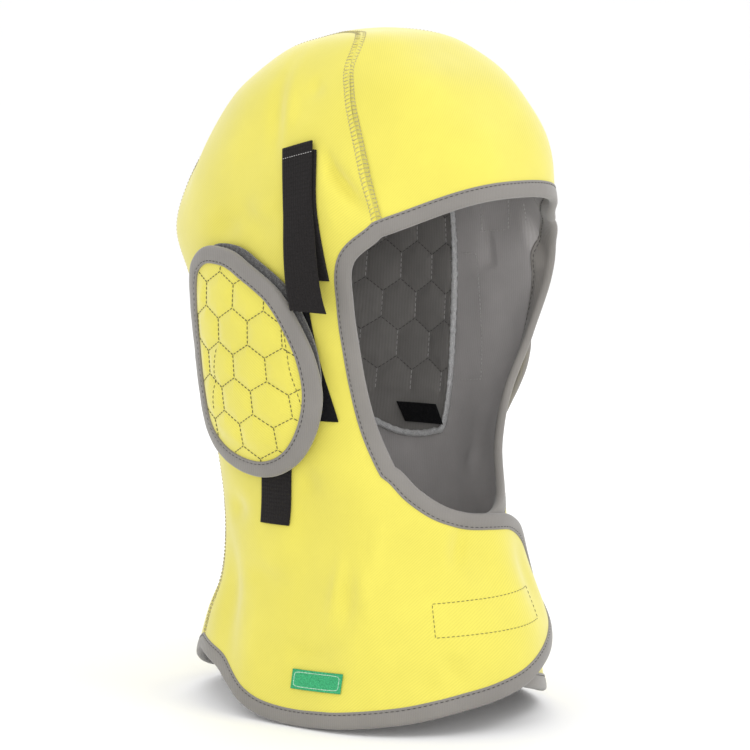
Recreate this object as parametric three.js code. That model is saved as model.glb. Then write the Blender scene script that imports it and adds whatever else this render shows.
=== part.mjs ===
// A winter liner for a hard hat: a three-panel hood with a short neck bib, whose right
// front flap laps over the left one. It keeps the shape it has on a head.
// Units are millimetres, +Z is up, -Y is the wearer's front and +X the wearer's left.
// The origin is inside the crown, where the top of the head sits.

import * as THREE from 'three';

// Driving sizes of the hood, outside of the shell
const HOOD_HEIGHT = 372;
const HEAD_WIDTH = 166;
const HEAD_DEPTH = 228;
const EAR_LEVEL = 110;

// Thickness of the two cloth layers, and the clearance between pieces
const SHELL = 1.1;
const LINING = 1.5;
const GAP = 0.3;
const TAPE_GAP = 0.45;

// Edge binding
const BINDING_WIDTH = 8;
const BINDING_CLOTH = 0.7;
const BINDING_GAP = 0.4;

// Front closure. The fastener's level is a share of the height.
const FLAP_LIFT = 7;
const LIFT_ANGLES = [-78, -44];
const LIFT_DROPS = [0.50, 0.66];
const FASTENER_HEIGHT = 16;
const FASTENER_TAPE = 1.1;
const FASTENER_LEVEL = 0.836;
const FASTENER_RISE = 3;
const FASTENER = { from: -25, to: 12, rows: 2 };

// Ear flap and the fleece behind it, measured on the side of the head
const EAR_WIDTH = 89;
const EAR_HEIGHT = 120;
const EAR_DROP = 177.5;
const EAR_BACK = 6;
const EAR_FLAP = 3;
const EAR_FLEECE = 1.6;
const EAR_FLEECE_CUT = 0.94;
const EAR_FLEECE_FORWARD = 3;
const EAR_FLEECE_UP = 6;
const EAR_DOME = 4;
const EAR_FLEECE_DOME = 1.5;
const SOFT_GAP = 0.7;

// Pocket panel inside, behind each ear
const POCKET_WIDTH = 68;
const POCKET_HEIGHT = 152;
const POCKET_DROP = 158;
const POCKET_BACK = 38;
const POCKET_CLOTH = 2.4;
const PATCH_WIDTH = 28;
const PATCH_HEIGHT = 12;
const PATCH_CLOTH = 1;
const PATCH_BACK = 22;
const PATCH_DROP = 221;

// Webbing down the side of the head. back and drop are those of a strip's upper end, and
// slant is how far back its lower end is from there. The front strap hangs free lower down.
const WEBBING = 1.2;
const WEBBING_WIDTH = 20;
const FRONT_STRAP = { back: -21, slant: -20, drop: 61, length: 85, steps: 10 };
const REAR_STRAP = { back: -23.5, slant: -17, drop: 61, length: 70, steps: 8 };
const HOOK_TAPE = { back: -25, slant: -7, drop: 147, length: 60, steps: 7 };
const LOWER_STRAP = { back: -8, slant: 9, drop: 208, length: 59, steps: 7 };
const STRAP_RISE = 9;
const STRAP_RISE_FROM = 0.1;
const STRAP_RISE_TO = 0.8;

// Woven label on the right bib, with its middle a little over the hem
const LABEL_WIDTH = 31;
const LABEL_HEIGHT = 10.5;
const LABEL_CLOTH = 0.6;
const LABEL_BACK = -36;
const LABEL_RISE = 24;

// Outline of the hood in level sections. drop is a share of the height, half of the head's
// width, and middle, front and back of its depth. square is 2 for an ellipse.
const SECTIONS = table(
  ['drop', 'middle', 'half', 'front', 'back', 'squareFront', 'squareBack'],
  [
    [0.000, -0.066, 0.000, 0.000, 0.000, 2.50, 2.50],
    [0.003, -0.066, 0.120, 0.075, 0.070, 2.50, 2.50],
    [0.012, -0.066, 0.211, 0.132, 0.123, 2.50, 2.50],
    [0.030, -0.061, 0.277, 0.193, 0.215, 2.50, 2.50],
    [0.065, -0.048, 0.349, 0.294, 0.289, 2.50, 2.50],
    [0.102, -0.035, 0.398, 0.368, 0.360, 2.50, 2.40],
    [0.156, -0.022, 0.440, 0.439, 0.421, 2.50, 2.30],
    [0.228, -0.009, 0.476, 0.478, 0.482, 2.50, 2.25],
    [0.301, 0.000, 0.500, 0.491, 0.509, 2.60, 2.25],
    [0.376, 0.000, 0.503, 0.474, 0.465, 2.50, 2.15],
    [0.457, 0.000, 0.494, 0.425, 0.425, 2.20, 2.15],
    [0.538, 0.000, 0.479, 0.360, 0.399, 1.95, 2.15],
    [0.618, 0.000, 0.455, 0.346, 0.379, 1.80, 2.15],
    [0.694, 0.000, 0.434, 0.380, 0.368, 1.75, 2.15],
    [0.766, 0.000, 0.428, 0.415, 0.364, 1.75, 2.15],
    [0.823, 0.000, 0.440, 0.452, 0.373, 1.80, 2.15],
    [0.876, 0.000, 0.464, 0.477, 0.412, 1.90, 2.15],
    [0.930, 0.000, 0.488, 0.485, 0.439, 1.95, 2.15],
    [0.981, 0.000, 0.506, 0.487, 0.452, 2.00, 2.15],
    [1.062, 0.000, 0.524, 0.487, 0.461, 2.00, 2.15],
  ],
);

// Half width of the crown panel between its seams. turn is degrees from the brow over
// the crown to the back of the head, half is a share of the head's width.
const CROWN_SEAM = table(
  ['turn', 'half'],
  [
    [0, 0.420], [14, 0.418], [28, 0.413], [41, 0.402], [52, 0.382], [60, 0.353], [66, 0.314],
    [70.5, 0.247], [74, 0.198], [79, 0.148], [88, 0.130], [104, 0.145], [125, 0.187],
    [145, 0.228], [162, 0.264], [180, 0.295],
  ],
);

// The same seam down the nape: drop is a share of the way from ear level to the tail
const NAPE_SEAM = table(
  ['drop', 'half'],
  [[0, 0.295], [0.2, 0.300], [0.4, 0.296], [0.6, 0.295], [0.77, 0.307], [0.9, 0.338], [1, 0.372]],
);

// Brow arch and tail of the crown panel, as shares of the height
const BROW = { drop: 0.234, fall: 0.051, power: 2.6 };
const TAIL = { drop: 0.989, rise: 0.060, power: 2 };

// Free edge of a side panel, from the temple down to the throat, along the top of its
// front flap, round the flap's end and back along the hem. angle is degrees round the
// head from the front, less than 0 on the panel's own side.
const FACE_EDGE = table(
  ['angle', 'drop'],
  [
    [-49.5, 0.301], [-51.8, 0.328], [-52.0, 0.371], [-50.5, 0.435], [-46.5, 0.524], [-40.5, 0.591],
    [-36.0, 0.625],
  ],
);
const THROAT_EDGE = table(
  ['angle', 'drop'],
  [[-36, 0.625], [-27, 0.660], [-18, 0.686], [-9, 0.699], [0, 0.704], [9, 0.710], [18, 0.727],
    [25, 0.752], [30, 0.783]],
);
const FLAP_END = table(
  ['angle', 'drop'],
  [[30, 0.783], [34, 0.810], [35.5, 0.840], [34, 0.864], [29, 0.882]],
);
const HEM = table(
  ['angle', 'drop'],
  [
    [-122, 0.938], [-114, 0.954], [-107, 0.970], [-97, 0.988], [-86, 0.997], [-71, 1.000],
    [-54, 0.996], [-36, 0.985], [-27, 0.976], [-18, 0.965], [-9, 0.954], [0, 0.939], [9, 0.918],
    [19, 0.899], [29, 0.882],
  ],
);

// Soft folds and hollows: depth is outward, a share of the head's width. wide is in
// degrees, tall a share of the height, slant the degrees a fold turns over its height.
const FOLDS = table(
  ['angle', 'drop', 'wide', 'tall', 'slant', 'depth'],
  [
    [-121, 0.850, 9, 0.080, 6, -0.030],
    [-62, 0.240, 11, 0.070, -8, 0.016],
    [-66, 0.700, 20, 0.040, 0, -0.016],
    [-8, 0.775, 7, 0.060, 3, -0.014],
    [-98, 0.930, 9, 0.060, 0, 0.010],
    [-60, 0.900, 10, 0.070, 5, -0.010],
    [-100, 0.170, 16, 0.050, 0, -0.014],
    [118, 0.860, 10, 0.080, -6, -0.024],
    [66, 0.250, 12, 0.070, 8, 0.012],
    [70, 0.690, 18, 0.045, 0, -0.014],
    [58, 0.900, 12, 0.080, -5, -0.012],
    [180, 0.730, 15, 0.050, 0, -0.016],
    [104, 0.180, 15, 0.050, 0, -0.012],
    [46, 0.362, 12, 0.060, 0, 0.052],
    [62, 0.470, 14, 0.090, 0, 0.036],
  ],
);

// Outline of an ear flap and of the pocket, as shares of their width and height about
// their middle. back is towards the back of the head.
const EAR_OUTLINE = table(
  ['back', 'up'],
  [
    [0.012, 0.464], [0.195, 0.499], [0.356, 0.486], [0.470, 0.406], [0.496, 0.246], [0.486, 0.043],
    [0.470, -0.160], [0.422, -0.330], [0.276, -0.439], [0.069, -0.496], [-0.137, -0.498],
    [-0.309, -0.422], [-0.435, -0.264], [-0.501, -0.064], [-0.464, 0.128], [-0.298, 0.326],
  ],
);
const POCKET_OUTLINE = table(
  ['back', 'up'],
  [
    [-0.48, 0.44], [-0.40, 0.50], [0.00, 0.50], [0.40, 0.49], [0.50, 0.40], [0.50, 0.00],
    [0.50, -0.30], [0.42, -0.40], [0.00, -0.495], [-0.36, -0.49], [-0.49, -0.42], [-0.50, 0.00],
  ],
);

// Mesh steps
const STRIP_COLUMNS = 6;
const SIDE_COLUMNS = 9;
const FRONT_STEPS = 7;
const BACK_HEAD_STEPS = 6;
const NAPE_STEPS = 7;
const FACE_STEPS = BACK_HEAD_STEPS + NAPE_STEPS - FRONT_STEPS;
const BIB_STEPS = 8;
const FRONT_TURN = 59;
const BACK_TURN = 141;
const BIB_DROP = 0.6;
const TABLE_DETAIL = 40;
const EDGE_DETAIL = 10;
const CAST_STEPS = 34;
const CAST_REACH = 2;
const NORMAL_STEP = 1.5;
const RELAX_ROUNDS = 12;
const EAR_SPOKES = 20;
const EAR_INNER_RING = 0.45;
const FLEECE_RINGS = [0.45, 0.84, 1];
const POCKET_SPOKES = 16;
const POCKET_RINGS = [0.35, 0.7, 1];
const STRAP_COLUMNS = 4;

// Colours
const YELLOW = 0xf2e45c;
const GREY = 0x8d8a86;
const DARK_GREY = 0x55524f;
const BLACK = 0x26242a;
const GREEN = 0x2f9a69;

// A table of named columns becomes a list of rows
function table(names, rows) {
  return rows.map((row) => Object.fromEntries(names.map((name, i) => [name, row[i]])));
}

// Catmull-Rom curve through the numbers of each column, at row number place. before is
// the row that leads into the first one.
function alongTable(rows, place, before) {
  const last = rows.length - 1;
  const i = Math.min(Math.max(Math.floor(place), 0), last - 1);
  const f = place - i;
  const out = {};
  for (const name of Object.keys(rows[0])) {
    const b = rows[i][name];
    const c = rows[i + 1][name];
    const lead = before ? before[name] : 2 * b - c;
    const a = i > 0 ? rows[i - 1][name] : lead;
    const d = i + 2 <= last ? rows[i + 2][name] : 2 * c - b;
    out[name] = 0.5 * (2 * b + (c - a) * f + (2 * a - 5 * b + 4 * c - d) * f * f
      + (3 * b - a - 3 * c + d) * f * f * f);
  }
  return out;
}

// The same curve, looked up by the value of one column
function lookUp(rows, key, before) {
  const fine = [];
  for (let i = 0; i <= (rows.length - 1) * TABLE_DETAIL; i += 1) {
    const row = alongTable(rows, i / TABLE_DETAIL, before);
    if (i > 0) row[key] = Math.max(row[key], fine[i - 1][key]);
    fine.push(row);
  }
  return (value) => {
    let low = 0;
    let high = fine.length - 1;
    while (high - low > 1) {
      const mid = (low + high) >> 1;
      if (fine[mid][key] <= value) low = mid; else high = mid;
    }
    const span = fine[high][key] - fine[low][key];
    const f = span > 0 ? Math.min(Math.max((value - fine[low][key]) / span, 0), 1) : 0;
    const out = {};
    for (const name of Object.keys(fine[0])) {
      out[name] = fine[low][name] + (fine[high][name] - fine[low][name]) * f;
    }
    return out;
  };
}

// The crown is round, so the row before its tip mirrors the row after it
const overCrown = {
  ...SECTIONS[1], half: -SECTIONS[1].half, front: -SECTIONS[1].front, back: -SECTIONS[1].back,
};
const sectionAt = lookUp(SECTIONS, 'drop', overCrown);
const crownSeamAt = lookUp(CROWN_SEAM, 'turn');
const napeSeamAt = lookUp(NAPE_SEAM, 'drop');
const vector = (x, y, z) => new THREE.Vector3(x, y, z);
const radians = THREE.MathUtils.degToRad;
const ramp = (from, to, value) => THREE.MathUtils.smoothstep(value, from, to);

// The outer form of the hood, with its crown at height 0

function insideForm(p) {
  if (p.z >= 0) return false;
  const s = sectionAt(-p.z / HOOD_HEIGHT);
  const fromMiddle = p.y - s.middle * HEAD_DEPTH;
  const ahead = fromMiddle < 0;
  const reach = Math.max((ahead ? s.front : s.back) * HEAD_DEPTH, 1e-6);
  const half = Math.max(s.half * HEAD_WIDTH, 1e-6);
  const square = ahead ? s.squareFront : s.squareBack;
  return (Math.abs(p.x) / half) ** square + (Math.abs(fromMiddle) / reach) ** square < 1;
}

// Where a ray from inside the hood meets the form
function cast(origin, direction) {
  const d = direction.clone().normalize();
  let low = 0;
  let high = CAST_REACH * HEAD_DEPTH;
  for (let i = 0; i < CAST_STEPS; i += 1) {
    const middle = (low + high) / 2;
    if (insideForm(origin.clone().addScaledVector(d, middle))) low = middle; else high = middle;
  }
  return origin.clone().addScaledVector(d, low);
}

// The point of the form that lies outward from the head's axis through a guess
function seat(guess) {
  const axis = vector(0, 0, Math.min(guess.z, -EAR_LEVEL));
  return cast(axis, guess.clone().sub(axis));
}

function normalAt(p) {
  const axis = vector(0, 0, Math.min(p.z, -EAR_LEVEL));
  const out = p.clone().sub(axis).normalize();
  const side = vector(-out.y, out.x + 1e-6, 0).normalize();
  const up = out.clone().cross(side).normalize();
  const slope = (along) => seat(p.clone().addScaledVector(along, NORMAL_STEP))
    .sub(seat(p.clone().addScaledVector(along, -NORMAL_STEP)));
  return slope(side).cross(slope(up)).normalize();
}

function onForm(angle, drop) {
  const turn = radians(angle);
  return seat(vector(Math.sin(turn) * HEAD_DEPTH / 2, -Math.cos(turn) * HEAD_DEPTH / 2,
    -drop * HOOD_HEIGHT));
}

// Outward height of the folds at a point
function foldHeight(p) {
  const angle = THREE.MathUtils.radToDeg(Math.atan2(p.x, -p.y));
  const drop = -p.z / HOOD_HEIGHT;
  let height = 0;
  for (const fold of FOLDS) {
    const down = (drop - fold.drop) / fold.tall;
    const lean = angle - fold.angle - fold.slant * down;
    const round = ((lean + 540) % 360) - 180;
    height += fold.depth * Math.exp(-((round / fold.wide) ** 2) - down ** 2);
  }
  return height * HEAD_WIDTH;
}

// How far the right front flap stands off to lap over the left one
function lapHeight(p) {
  const angle = THREE.MathUtils.radToDeg(Math.atan2(p.x, -p.y));
  const drop = -p.z / HOOD_HEIGHT;
  return FLAP_LIFT * ramp(...LIFT_ANGLES, angle) * ramp(...LIFT_DROPS, drop);
}

// A vertex keeps its place and outward direction. side is -1 on the wearer's right.
function vertex(base, side, lapped) {
  const normal = normalAt(base);
  if (side > 0) {
    base.x *= -1;
    normal.x *= -1;
  }
  const lift = foldHeight(base) + (lapped ? lapHeight(base) : 0);
  return { place: base.clone().addScaledVector(normal, lift), normal };
}

const raised = (v, height) => v.place.clone().addScaledVector(v.normal, height);

// Closed solids from triangles of points

function closedSolid(triangles) {
  const keys = new Map();
  const points = [];
  const index = [];
  const number = (p) => {
    const key = [p.x, p.y, p.z].map((n) => Math.round(n * 1e4)).join(',');
    if (!keys.has(key)) {
      keys.set(key, points.length / 3);
      points.push(p.x, p.y, p.z);
    }
    return keys.get(key);
  };
  let volume = 0;
  for (const [a, b, c] of triangles) {
    const [i, j, k] = [number(a), number(b), number(c)];
    if (i !== j && j !== k && k !== i) {
      index.push(i, j, k);
      volume += a.dot(b.clone().cross(c));
    }
  }
  if (volume < 0) index.reverse();
  const geometry = new THREE.BufferGeometry();
  geometry.setAttribute('position', new THREE.Float32BufferAttribute(points, 3));
  geometry.setIndex(index);
  geometry.computeVertexNormals();
  return geometry;
}

const quad = (a, b, c, d) => [[a, b, c], [a, c, d]];

// The two triangles of a four-cornered cell, cut along its shorter diagonal. Layers over
// the same cell are cut alike, so that they stay parallel.
function cutCell(corners, places) {
  const [a, b, c, d] = places;
  const [i, j, k, l] = corners;
  return a.distanceTo(c) <= b.distanceTo(d) ? [[i, j, k], [i, k, l]] : [[i, j, l], [j, k, l]];
}

// A layer of cloth between two heights over a sheet of vertices and four-cornered cells
function layer(sheet, top, bottom) {
  const triangles = [];
  const edges = new Map();
  const up = sheet.vertices.map((v) => raised(v, top));
  const down = sheet.vertices.map((v) => raised(v, bottom));
  for (const cell of sheet.cells) {
    const [a, b, c, d] = cell;
    for (const [i, j, k] of cutCell(cell, cell.map((corner) => sheet.vertices[corner].place))) {
      triangles.push([up[i], up[j], up[k]], [down[k], down[j], down[i]]);
    }
    [[a, b], [b, c], [c, d], [d, a]].forEach(([i, j]) => {
      if (i !== j && !edges.delete(`${j},${i}`)) edges.set(`${i},${j}`, [i, j]);
    });
  }
  for (const [i, j] of edges.values()) {
    triangles.push(...quad(up[j], up[i], down[i], down[j]));
  }
  return closedSolid(triangles);
}

// Folded tape round an edge. Each stop has the edge's vertex and the one under the
// tape's lip. The layers that it holds lie between the heights top and bottom.
function foldedTape(stops, top, bottom) {
  const inner = BINDING_GAP;
  const outer = BINDING_GAP + BINDING_CLOTH;
  const rings = stops.map(({ edge, lip }) => {
    const away = edge.place.clone().sub(lip.place).normalize();
    const at = (v, out, height) => raised(v, height).addScaledVector(away, out);
    return [
      at(lip, 0, top + outer),
      at(edge, inner, top + outer),
      at(edge, outer, (top + bottom) / 2),
      at(edge, inner, bottom - outer),
      at(lip, 0, bottom - outer),
      at(lip, 0, bottom - inner),
      at(edge, inner, bottom - inner),
      at(edge, inner, top + inner),
      at(lip, 0, top + inner),
    ];
  });
  const triangles = [];
  rings.forEach((ring, i) => {
    const after = (i + 1) % rings.length;
    const next = rings[after];
    const [here, there] = [stops[i], stops[after]];
    const towardsLip = [here.edge.place, here.lip.place, there.lip.place, there.edge.place];
    const towardsEdge = [here.lip.place, here.edge.place, there.edge.place, there.lip.place];
    ring.forEach((p, j) => {
      const k = (j + 1) % ring.length;
      const places = j === 0 || j === 5 ? towardsEdge : towardsLip;
      triangles.push(...cutCell([p, ring[k], next[k], next[j]], places));
    });
  });
  return closedSolid(triangles);
}

// Crown panel: rows run from the brow over the crown and down the nape

function seamStations() {
  const stations = [];
  const lipTurn = THREE.MathUtils.radToDeg(BINDING_WIDTH / (HEAD_DEPTH / 2));
  const steps = (from, to, count, make) => {
    for (let i = 1; i <= count; i += 1) stations.push(make(from + ((to - from) * i) / count));
  };
  const turning = (turn) => ({ turn });
  const dropping = (share) => ({ share });
  const tailHeight = (TAIL.drop - TAIL.rise) * HOOD_HEIGHT - EAR_LEVEL;
  const lipShare = 1 - BINDING_WIDTH / tailHeight;
  const bibShare = (BIB_DROP * HOOD_HEIGHT - EAR_LEVEL) / tailHeight;
  stations.push({ turn: 0 }, { turn: lipTurn });
  steps(lipTurn, FRONT_TURN, FRONT_STEPS - 1, turning);
  steps(FRONT_TURN, BACK_TURN, SIDE_COLUMNS, turning);
  steps(BACK_TURN, 180, BACK_HEAD_STEPS, turning);
  steps(0, bibShare, NAPE_STEPS, dropping);
  steps(bibShare, lipShare, BIB_STEPS - 1, dropping);
  stations.push({ share: 1 });
  return stations;
}

// A point of the crown panel. across goes from -1 to 1 between the seams, and room is
// the clearance kept from the seam.
function crownPoint(station, across, room) {
  if (station.share === undefined) {
    const x = across * (crownSeamAt(station.turn).half * HEAD_WIDTH - room);
    const seam = crownSeamAt(0).half * HEAD_WIDTH;
    const brow = (BROW.drop + BROW.fall * Math.abs(across) ** BROW.power) * HOOD_HEIGHT;
    const start = cast(vector(across * seam, 0, -brow), vector(0, -1, 0));
    const first = Math.atan2(EAR_LEVEL - brow, -start.y);
    const angle = first + (Math.PI - first) * (station.turn / 180);
    return cast(vector(x, 0, -EAR_LEVEL), vector(0, -Math.cos(angle), Math.sin(angle)));
  }
  const x = across * (napeSeamAt(station.share).half * HEAD_WIDTH - room);
  const tail = (TAIL.drop - TAIL.rise * Math.abs(across) ** TAIL.power) * HOOD_HEIGHT;
  const drop = EAR_LEVEL + (tail - EAR_LEVEL) * station.share;
  return cast(vector(x, 0, -drop), vector(0, 1, 0));
}

function crownSheet(stations) {
  const vertices = [];
  const cells = [];
  const wide = STRIP_COLUMNS + 1;
  stations.forEach((station, row) => {
    for (let column = 0; column < wide; column += 1) {
      const across = (2 * column) / STRIP_COLUMNS - 1;
      const base = crownPoint(station, -Math.abs(across), GAP / 2);
      vertices.push(vertex(base, across, false));
      if (row > 0 && column > 0) {
        const at = row * wide + column;
        cells.push([at - wide - 1, at - wide, at, at - 1]);
      }
    }
  });
  const last = (stations.length - 1) * wide;
  const pick = (edge, lip) => ({ edge: vertices[edge], lip: vertices[lip] });
  const columns = [...Array(wide).keys()];
  return {
    vertices,
    cells,
    brow: columns.map((c) => pick(c, wide + c)),
    tail: columns.map((c) => pick(last + c, last - wide + c)),
  };
}

// Side panels

// Points on the form along a table of angle and drop, cut into steps of equal length
// with a short step where an end has a lip
function edgePoints(rows, count, start, lipStart, lipEnd) {
  const fine = [];
  for (let i = 0; i <= (rows.length - 1) * EDGE_DETAIL; i += 1) {
    const row = alongTable(rows, i / EDGE_DETAIL);
    fine.push(onForm(row.angle, row.drop));
  }
  if (start) fine.unshift(start);
  const lengths = [0];
  for (let i = 1; i < fine.length; i += 1) {
    lengths.push(lengths[i - 1] + fine[i].distanceTo(fine[i - 1]));
  }
  const total = lengths[lengths.length - 1];
  const first = lipStart ? BINDING_WIDTH : 0;
  const last = lipEnd ? BINDING_WIDTH : 0;
  const inner = count - (lipStart ? 1 : 0) - (lipEnd ? 1 : 0);
  const wanted = lipStart ? [0] : [];
  for (let i = 0; i <= inner; i += 1) {
    wanted.push(first + ((total - first - last) * i) / inner);
  }
  if (lipEnd) wanted.push(total);
  return wanted.map((length) => {
    let i = 1;
    while (i < lengths.length - 1 && lengths[i] < length) i += 1;
    const f = (length - lengths[i - 1]) / Math.max(lengths[i] - lengths[i - 1], 1e-9);
    return seat(fine[i - 1].clone().lerp(fine[i], f));
  });
}

// Share of the way along a row of points
function shares(points) {
  const lengths = [0];
  for (let i = 1; i < points.length; i += 1) {
    lengths.push(lengths[i - 1] + points[i].distanceTo(points[i - 1]));
  }
  return lengths.map((length) => length / lengths[lengths.length - 1]);
}

// A grid of points between four rows of boundary points, seated on the form
function fillPatch(top, bottom, left, right) {
  const topShare = shares(top);
  const bottomShare = shares(bottom);
  const leftShare = shares(left);
  const rightShare = shares(right);
  return left.map((leftPoint, j) => top.map((topPoint, i) => {
    if (j === 0) return top[i];
    if (j === left.length - 1) return bottom[i];
    if (i === 0) return left[j];
    if (i === top.length - 1) return right[j];
    const f = j / (left.length - 1);
    const g = i / (top.length - 1);
    const u = topShare[i] * (1 - f) + bottomShare[i] * f;
    const v = leftShare[j] * (1 - g) + rightShare[j] * g;
    const guess = vector(0, 0, 0);
    guess.addScaledVector(topPoint, 1 - v).addScaledVector(bottom[i], v);
    guess.addScaledVector(leftPoint, 1 - u).addScaledVector(right[j], u);
    guess.addScaledVector(top[0], -(1 - u) * (1 - v)).addScaledVector(bottom[0], -(1 - u) * v);
    guess.addScaledVector(top[top.length - 1], -u * (1 - v));
    guess.addScaledVector(bottom[top.length - 1], -u * v);
    return seat(guess);
  }));
}

// Evens out the inside of a grid of points
function relax(grid, rounds) {
  for (let round = 0; round < rounds; round += 1) {
    for (let j = 1; j < grid.length - 1; j += 1) {
      for (let i = 1; i < grid[0].length - 1; i += 1) {
        const mean = vector(0, 0, 0);
        [[j - 1, i], [j + 1, i], [j, i - 1], [j, i + 1]].forEach(([row, column]) => {
          mean.addScaledVector(grid[row][column], 0.25);
        });
        grid[j][i] = seat(mean);
      }
    }
  }
}

// The point under the lip of the binding, square to the edge that runs through a point
function lipPoint(before, point, after, inside) {
  const along = after.clone().sub(before);
  const away = normalAt(point).cross(along).normalize();
  if (away.dot(inside.clone().sub(point)) < 0) away.negate();
  return seat(point.clone().addScaledVector(away, BINDING_WIDTH));
}

function setLips(upper, lower) {
  const columns = upper[0].length - 1;
  const wide = lower[0].length - 1;
  const bottom = lower.length - 1;
  const rows = upper.length - 1;
  for (let j = FRONT_STEPS + 1; j < rows; j += 1) {
    upper[j][columns - 1] = lipPoint(upper[j - 1][columns], upper[j][columns],
      upper[j + 1][columns], upper[j][columns - 1]);
  }
  const bend = lower[0][columns];
  upper[rows][columns - 1] = lipPoint(upper[rows - 1][columns], bend, bend,
    upper[rows][columns - 1]);
  lower[0][columns - 1] = upper[rows][columns - 1];
  lower[1][columns] = lipPoint(bend, bend, lower[0][columns + 1], lower[1][columns]);
  for (let i = columns + 1; i < wide - 1; i += 1) {
    lower[1][i] = lipPoint(lower[0][i - 1], lower[0][i], lower[0][i + 1], lower[1][i]);
  }
  lower[1][wide - 1] = lipPoint(lower[0][wide - 1], lower[0][wide], lower[1][wide],
    lower[1][wide - 1]);
  for (let j = 2; j < bottom - 1; j += 1) {
    lower[j][wide - 1] = lipPoint(lower[j - 1][wide], lower[j][wide], lower[j + 1][wide],
      lower[j][wide - 1]);
  }
  lower[bottom - 1][wide - 1] = lipPoint(lower[bottom - 1][wide], lower[bottom][wide],
    lower[bottom][wide - 1], lower[bottom - 1][wide - 1]);
  for (let i = 2; i < wide - 1; i += 1) {
    lower[bottom - 1][i] = lipPoint(lower[bottom][i - 1], lower[bottom][i],
      lower[bottom][i + 1], lower[bottom - 1][i]);
  }
  // At the seam's two ends the lip runs from the seam to the first lip point
  const between = (a, b) => seat(a.clone().lerp(b, 0.5));
  upper[FRONT_STEPS][columns - 1] = between(upper[FRONT_STEPS - 1][columns],
    upper[FRONT_STEPS + 1][columns - 1]);
  lower[bottom - 1][1] = between(lower[bottom - 1][0], lower[bottom - 1][2]);
}

function sidePoints(stations) {
  const seam = stations.map((station) => crownPoint(station, -1, -GAP / 2));
  const topEnd = FRONT_STEPS + SIDE_COLUMNS;
  const bibStart = topEnd + BACK_HEAD_STEPS + NAPE_STEPS;
  const flapSteps = THROAT_EDGE.length - 1;
  const face = edgePoints(FACE_EDGE, FACE_STEPS, seam[0], true, false);
  const throat = THROAT_EDGE.map((row) => onForm(row.angle, row.drop));
  const end = edgePoints(FLAP_END, BIB_STEPS, null, true, true);
  const hemBack = edgePoints([...HEM.slice(0, HEM.length - flapSteps)], SIDE_COLUMNS,
    seam[seam.length - 1], true, false);
  const hemFront = HEM.slice(-flapSteps - 1).map((row) => onForm(row.angle, row.drop));
  const bend = face[face.length - 1];
  const back = seam[bibStart];
  const across = shares(hemBack).map((f) => seat(turned(back, bend, f)));
  across[0] = back;
  across[SIDE_COLUMNS] = bend;
  const rightOfUpper = [...seam.slice(0, FRONT_STEPS + 1).reverse(), ...face.slice(1)];
  const upper = fillPatch(
    seam.slice(FRONT_STEPS, topEnd + 1).reverse(), across, seam.slice(topEnd, bibStart + 1),
    rightOfUpper,
  );
  const lower = fillPatch(
    [...across, ...throat.slice(1)], [...hemBack, ...hemFront.slice(1)], seam.slice(bibStart), end,
  );
  relax(upper, RELAX_ROUNDS);
  setLips(upper, lower);
  return { upper, lower };
}

// A point between two others, level by level round the head's axis
function turned(from, to, f) {
  const a = Math.atan2(from.x, -from.y);
  const b = Math.atan2(to.x, -to.y);
  const angle = a + (b - a) * f;
  const z = from.z + (to.z - from.z) * f;
  return vector(Math.sin(angle) * HEAD_WIDTH, -Math.cos(angle) * HEAD_WIDTH, z);
}

function sideSheet(points, side, lapped) {
  const { upper, lower } = points;
  const columns = upper[0].length - 1;
  const wide = lower[0].length - 1;
  const bottom = lower.length - 1;
  const seamRow = FRONT_STEPS;
  const vertices = [];
  const cells = [];
  const number = new Map();
  const add = (grid, name) => grid.map((row, j) => row.map((p, i) => {
    const key = name === 'upper' && j === grid.length - 1 ? `lower,0,${i}` : `${name},${j},${i}`;
    if (!number.has(key)) {
      number.set(key, vertices.length);
      vertices.push(vertex(p.clone(), side, lapped));
    }
    return number.get(key);
  }));
  const grids = [add(upper, 'upper'), add(lower, 'lower')];
  for (const grid of grids) {
    for (let j = 1; j < grid.length; j += 1) {
      for (let i = 1; i < grid[0].length; i += 1) {
        const cell = [grid[j - 1][i - 1], grid[j - 1][i], grid[j][i], grid[j][i - 1]];
        cells.push(side < 0 ? cell : cell.reverse());
      }
    }
  }
  const [high, low] = grids;
  const stop = (edge, lip) => ({ edge: vertices[edge], lip: vertices[lip] });
  const free = [];
  for (let j = seamRow + 1; j < upper.length; j += 1) {
    free.push(stop(high[j][columns], high[j][columns - 1]));
  }
  for (let i = columns; i < wide; i += 1) free.push(stop(low[0][i], low[1][i]));
  free.push(stop(low[0][wide], low[1][wide - 1]));
  for (let j = 1; j < bottom; j += 1) free.push(stop(low[j][wide], low[j][wide - 1]));
  free.push(stop(low[bottom][wide], low[bottom - 1][wide - 1]));
  for (let i = wide - 1; i > 0; i -= 1) free.push(stop(low[bottom][i], low[bottom - 1][i]));
  return { vertices, cells, free };
}

// Pieces laid on the side of the head. back is measured from the head's axis towards the
// back, drop down from the crown, and height outward from the shell.

function sideVertex(back, drop, side) {
  return vertex(cast(vector(0, back, -drop), vector(-1, 0, 0)), side, side < 0);
}

function raisedVertex(v, height) {
  return { place: raised(v, height), normal: v.normal };
}

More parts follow.
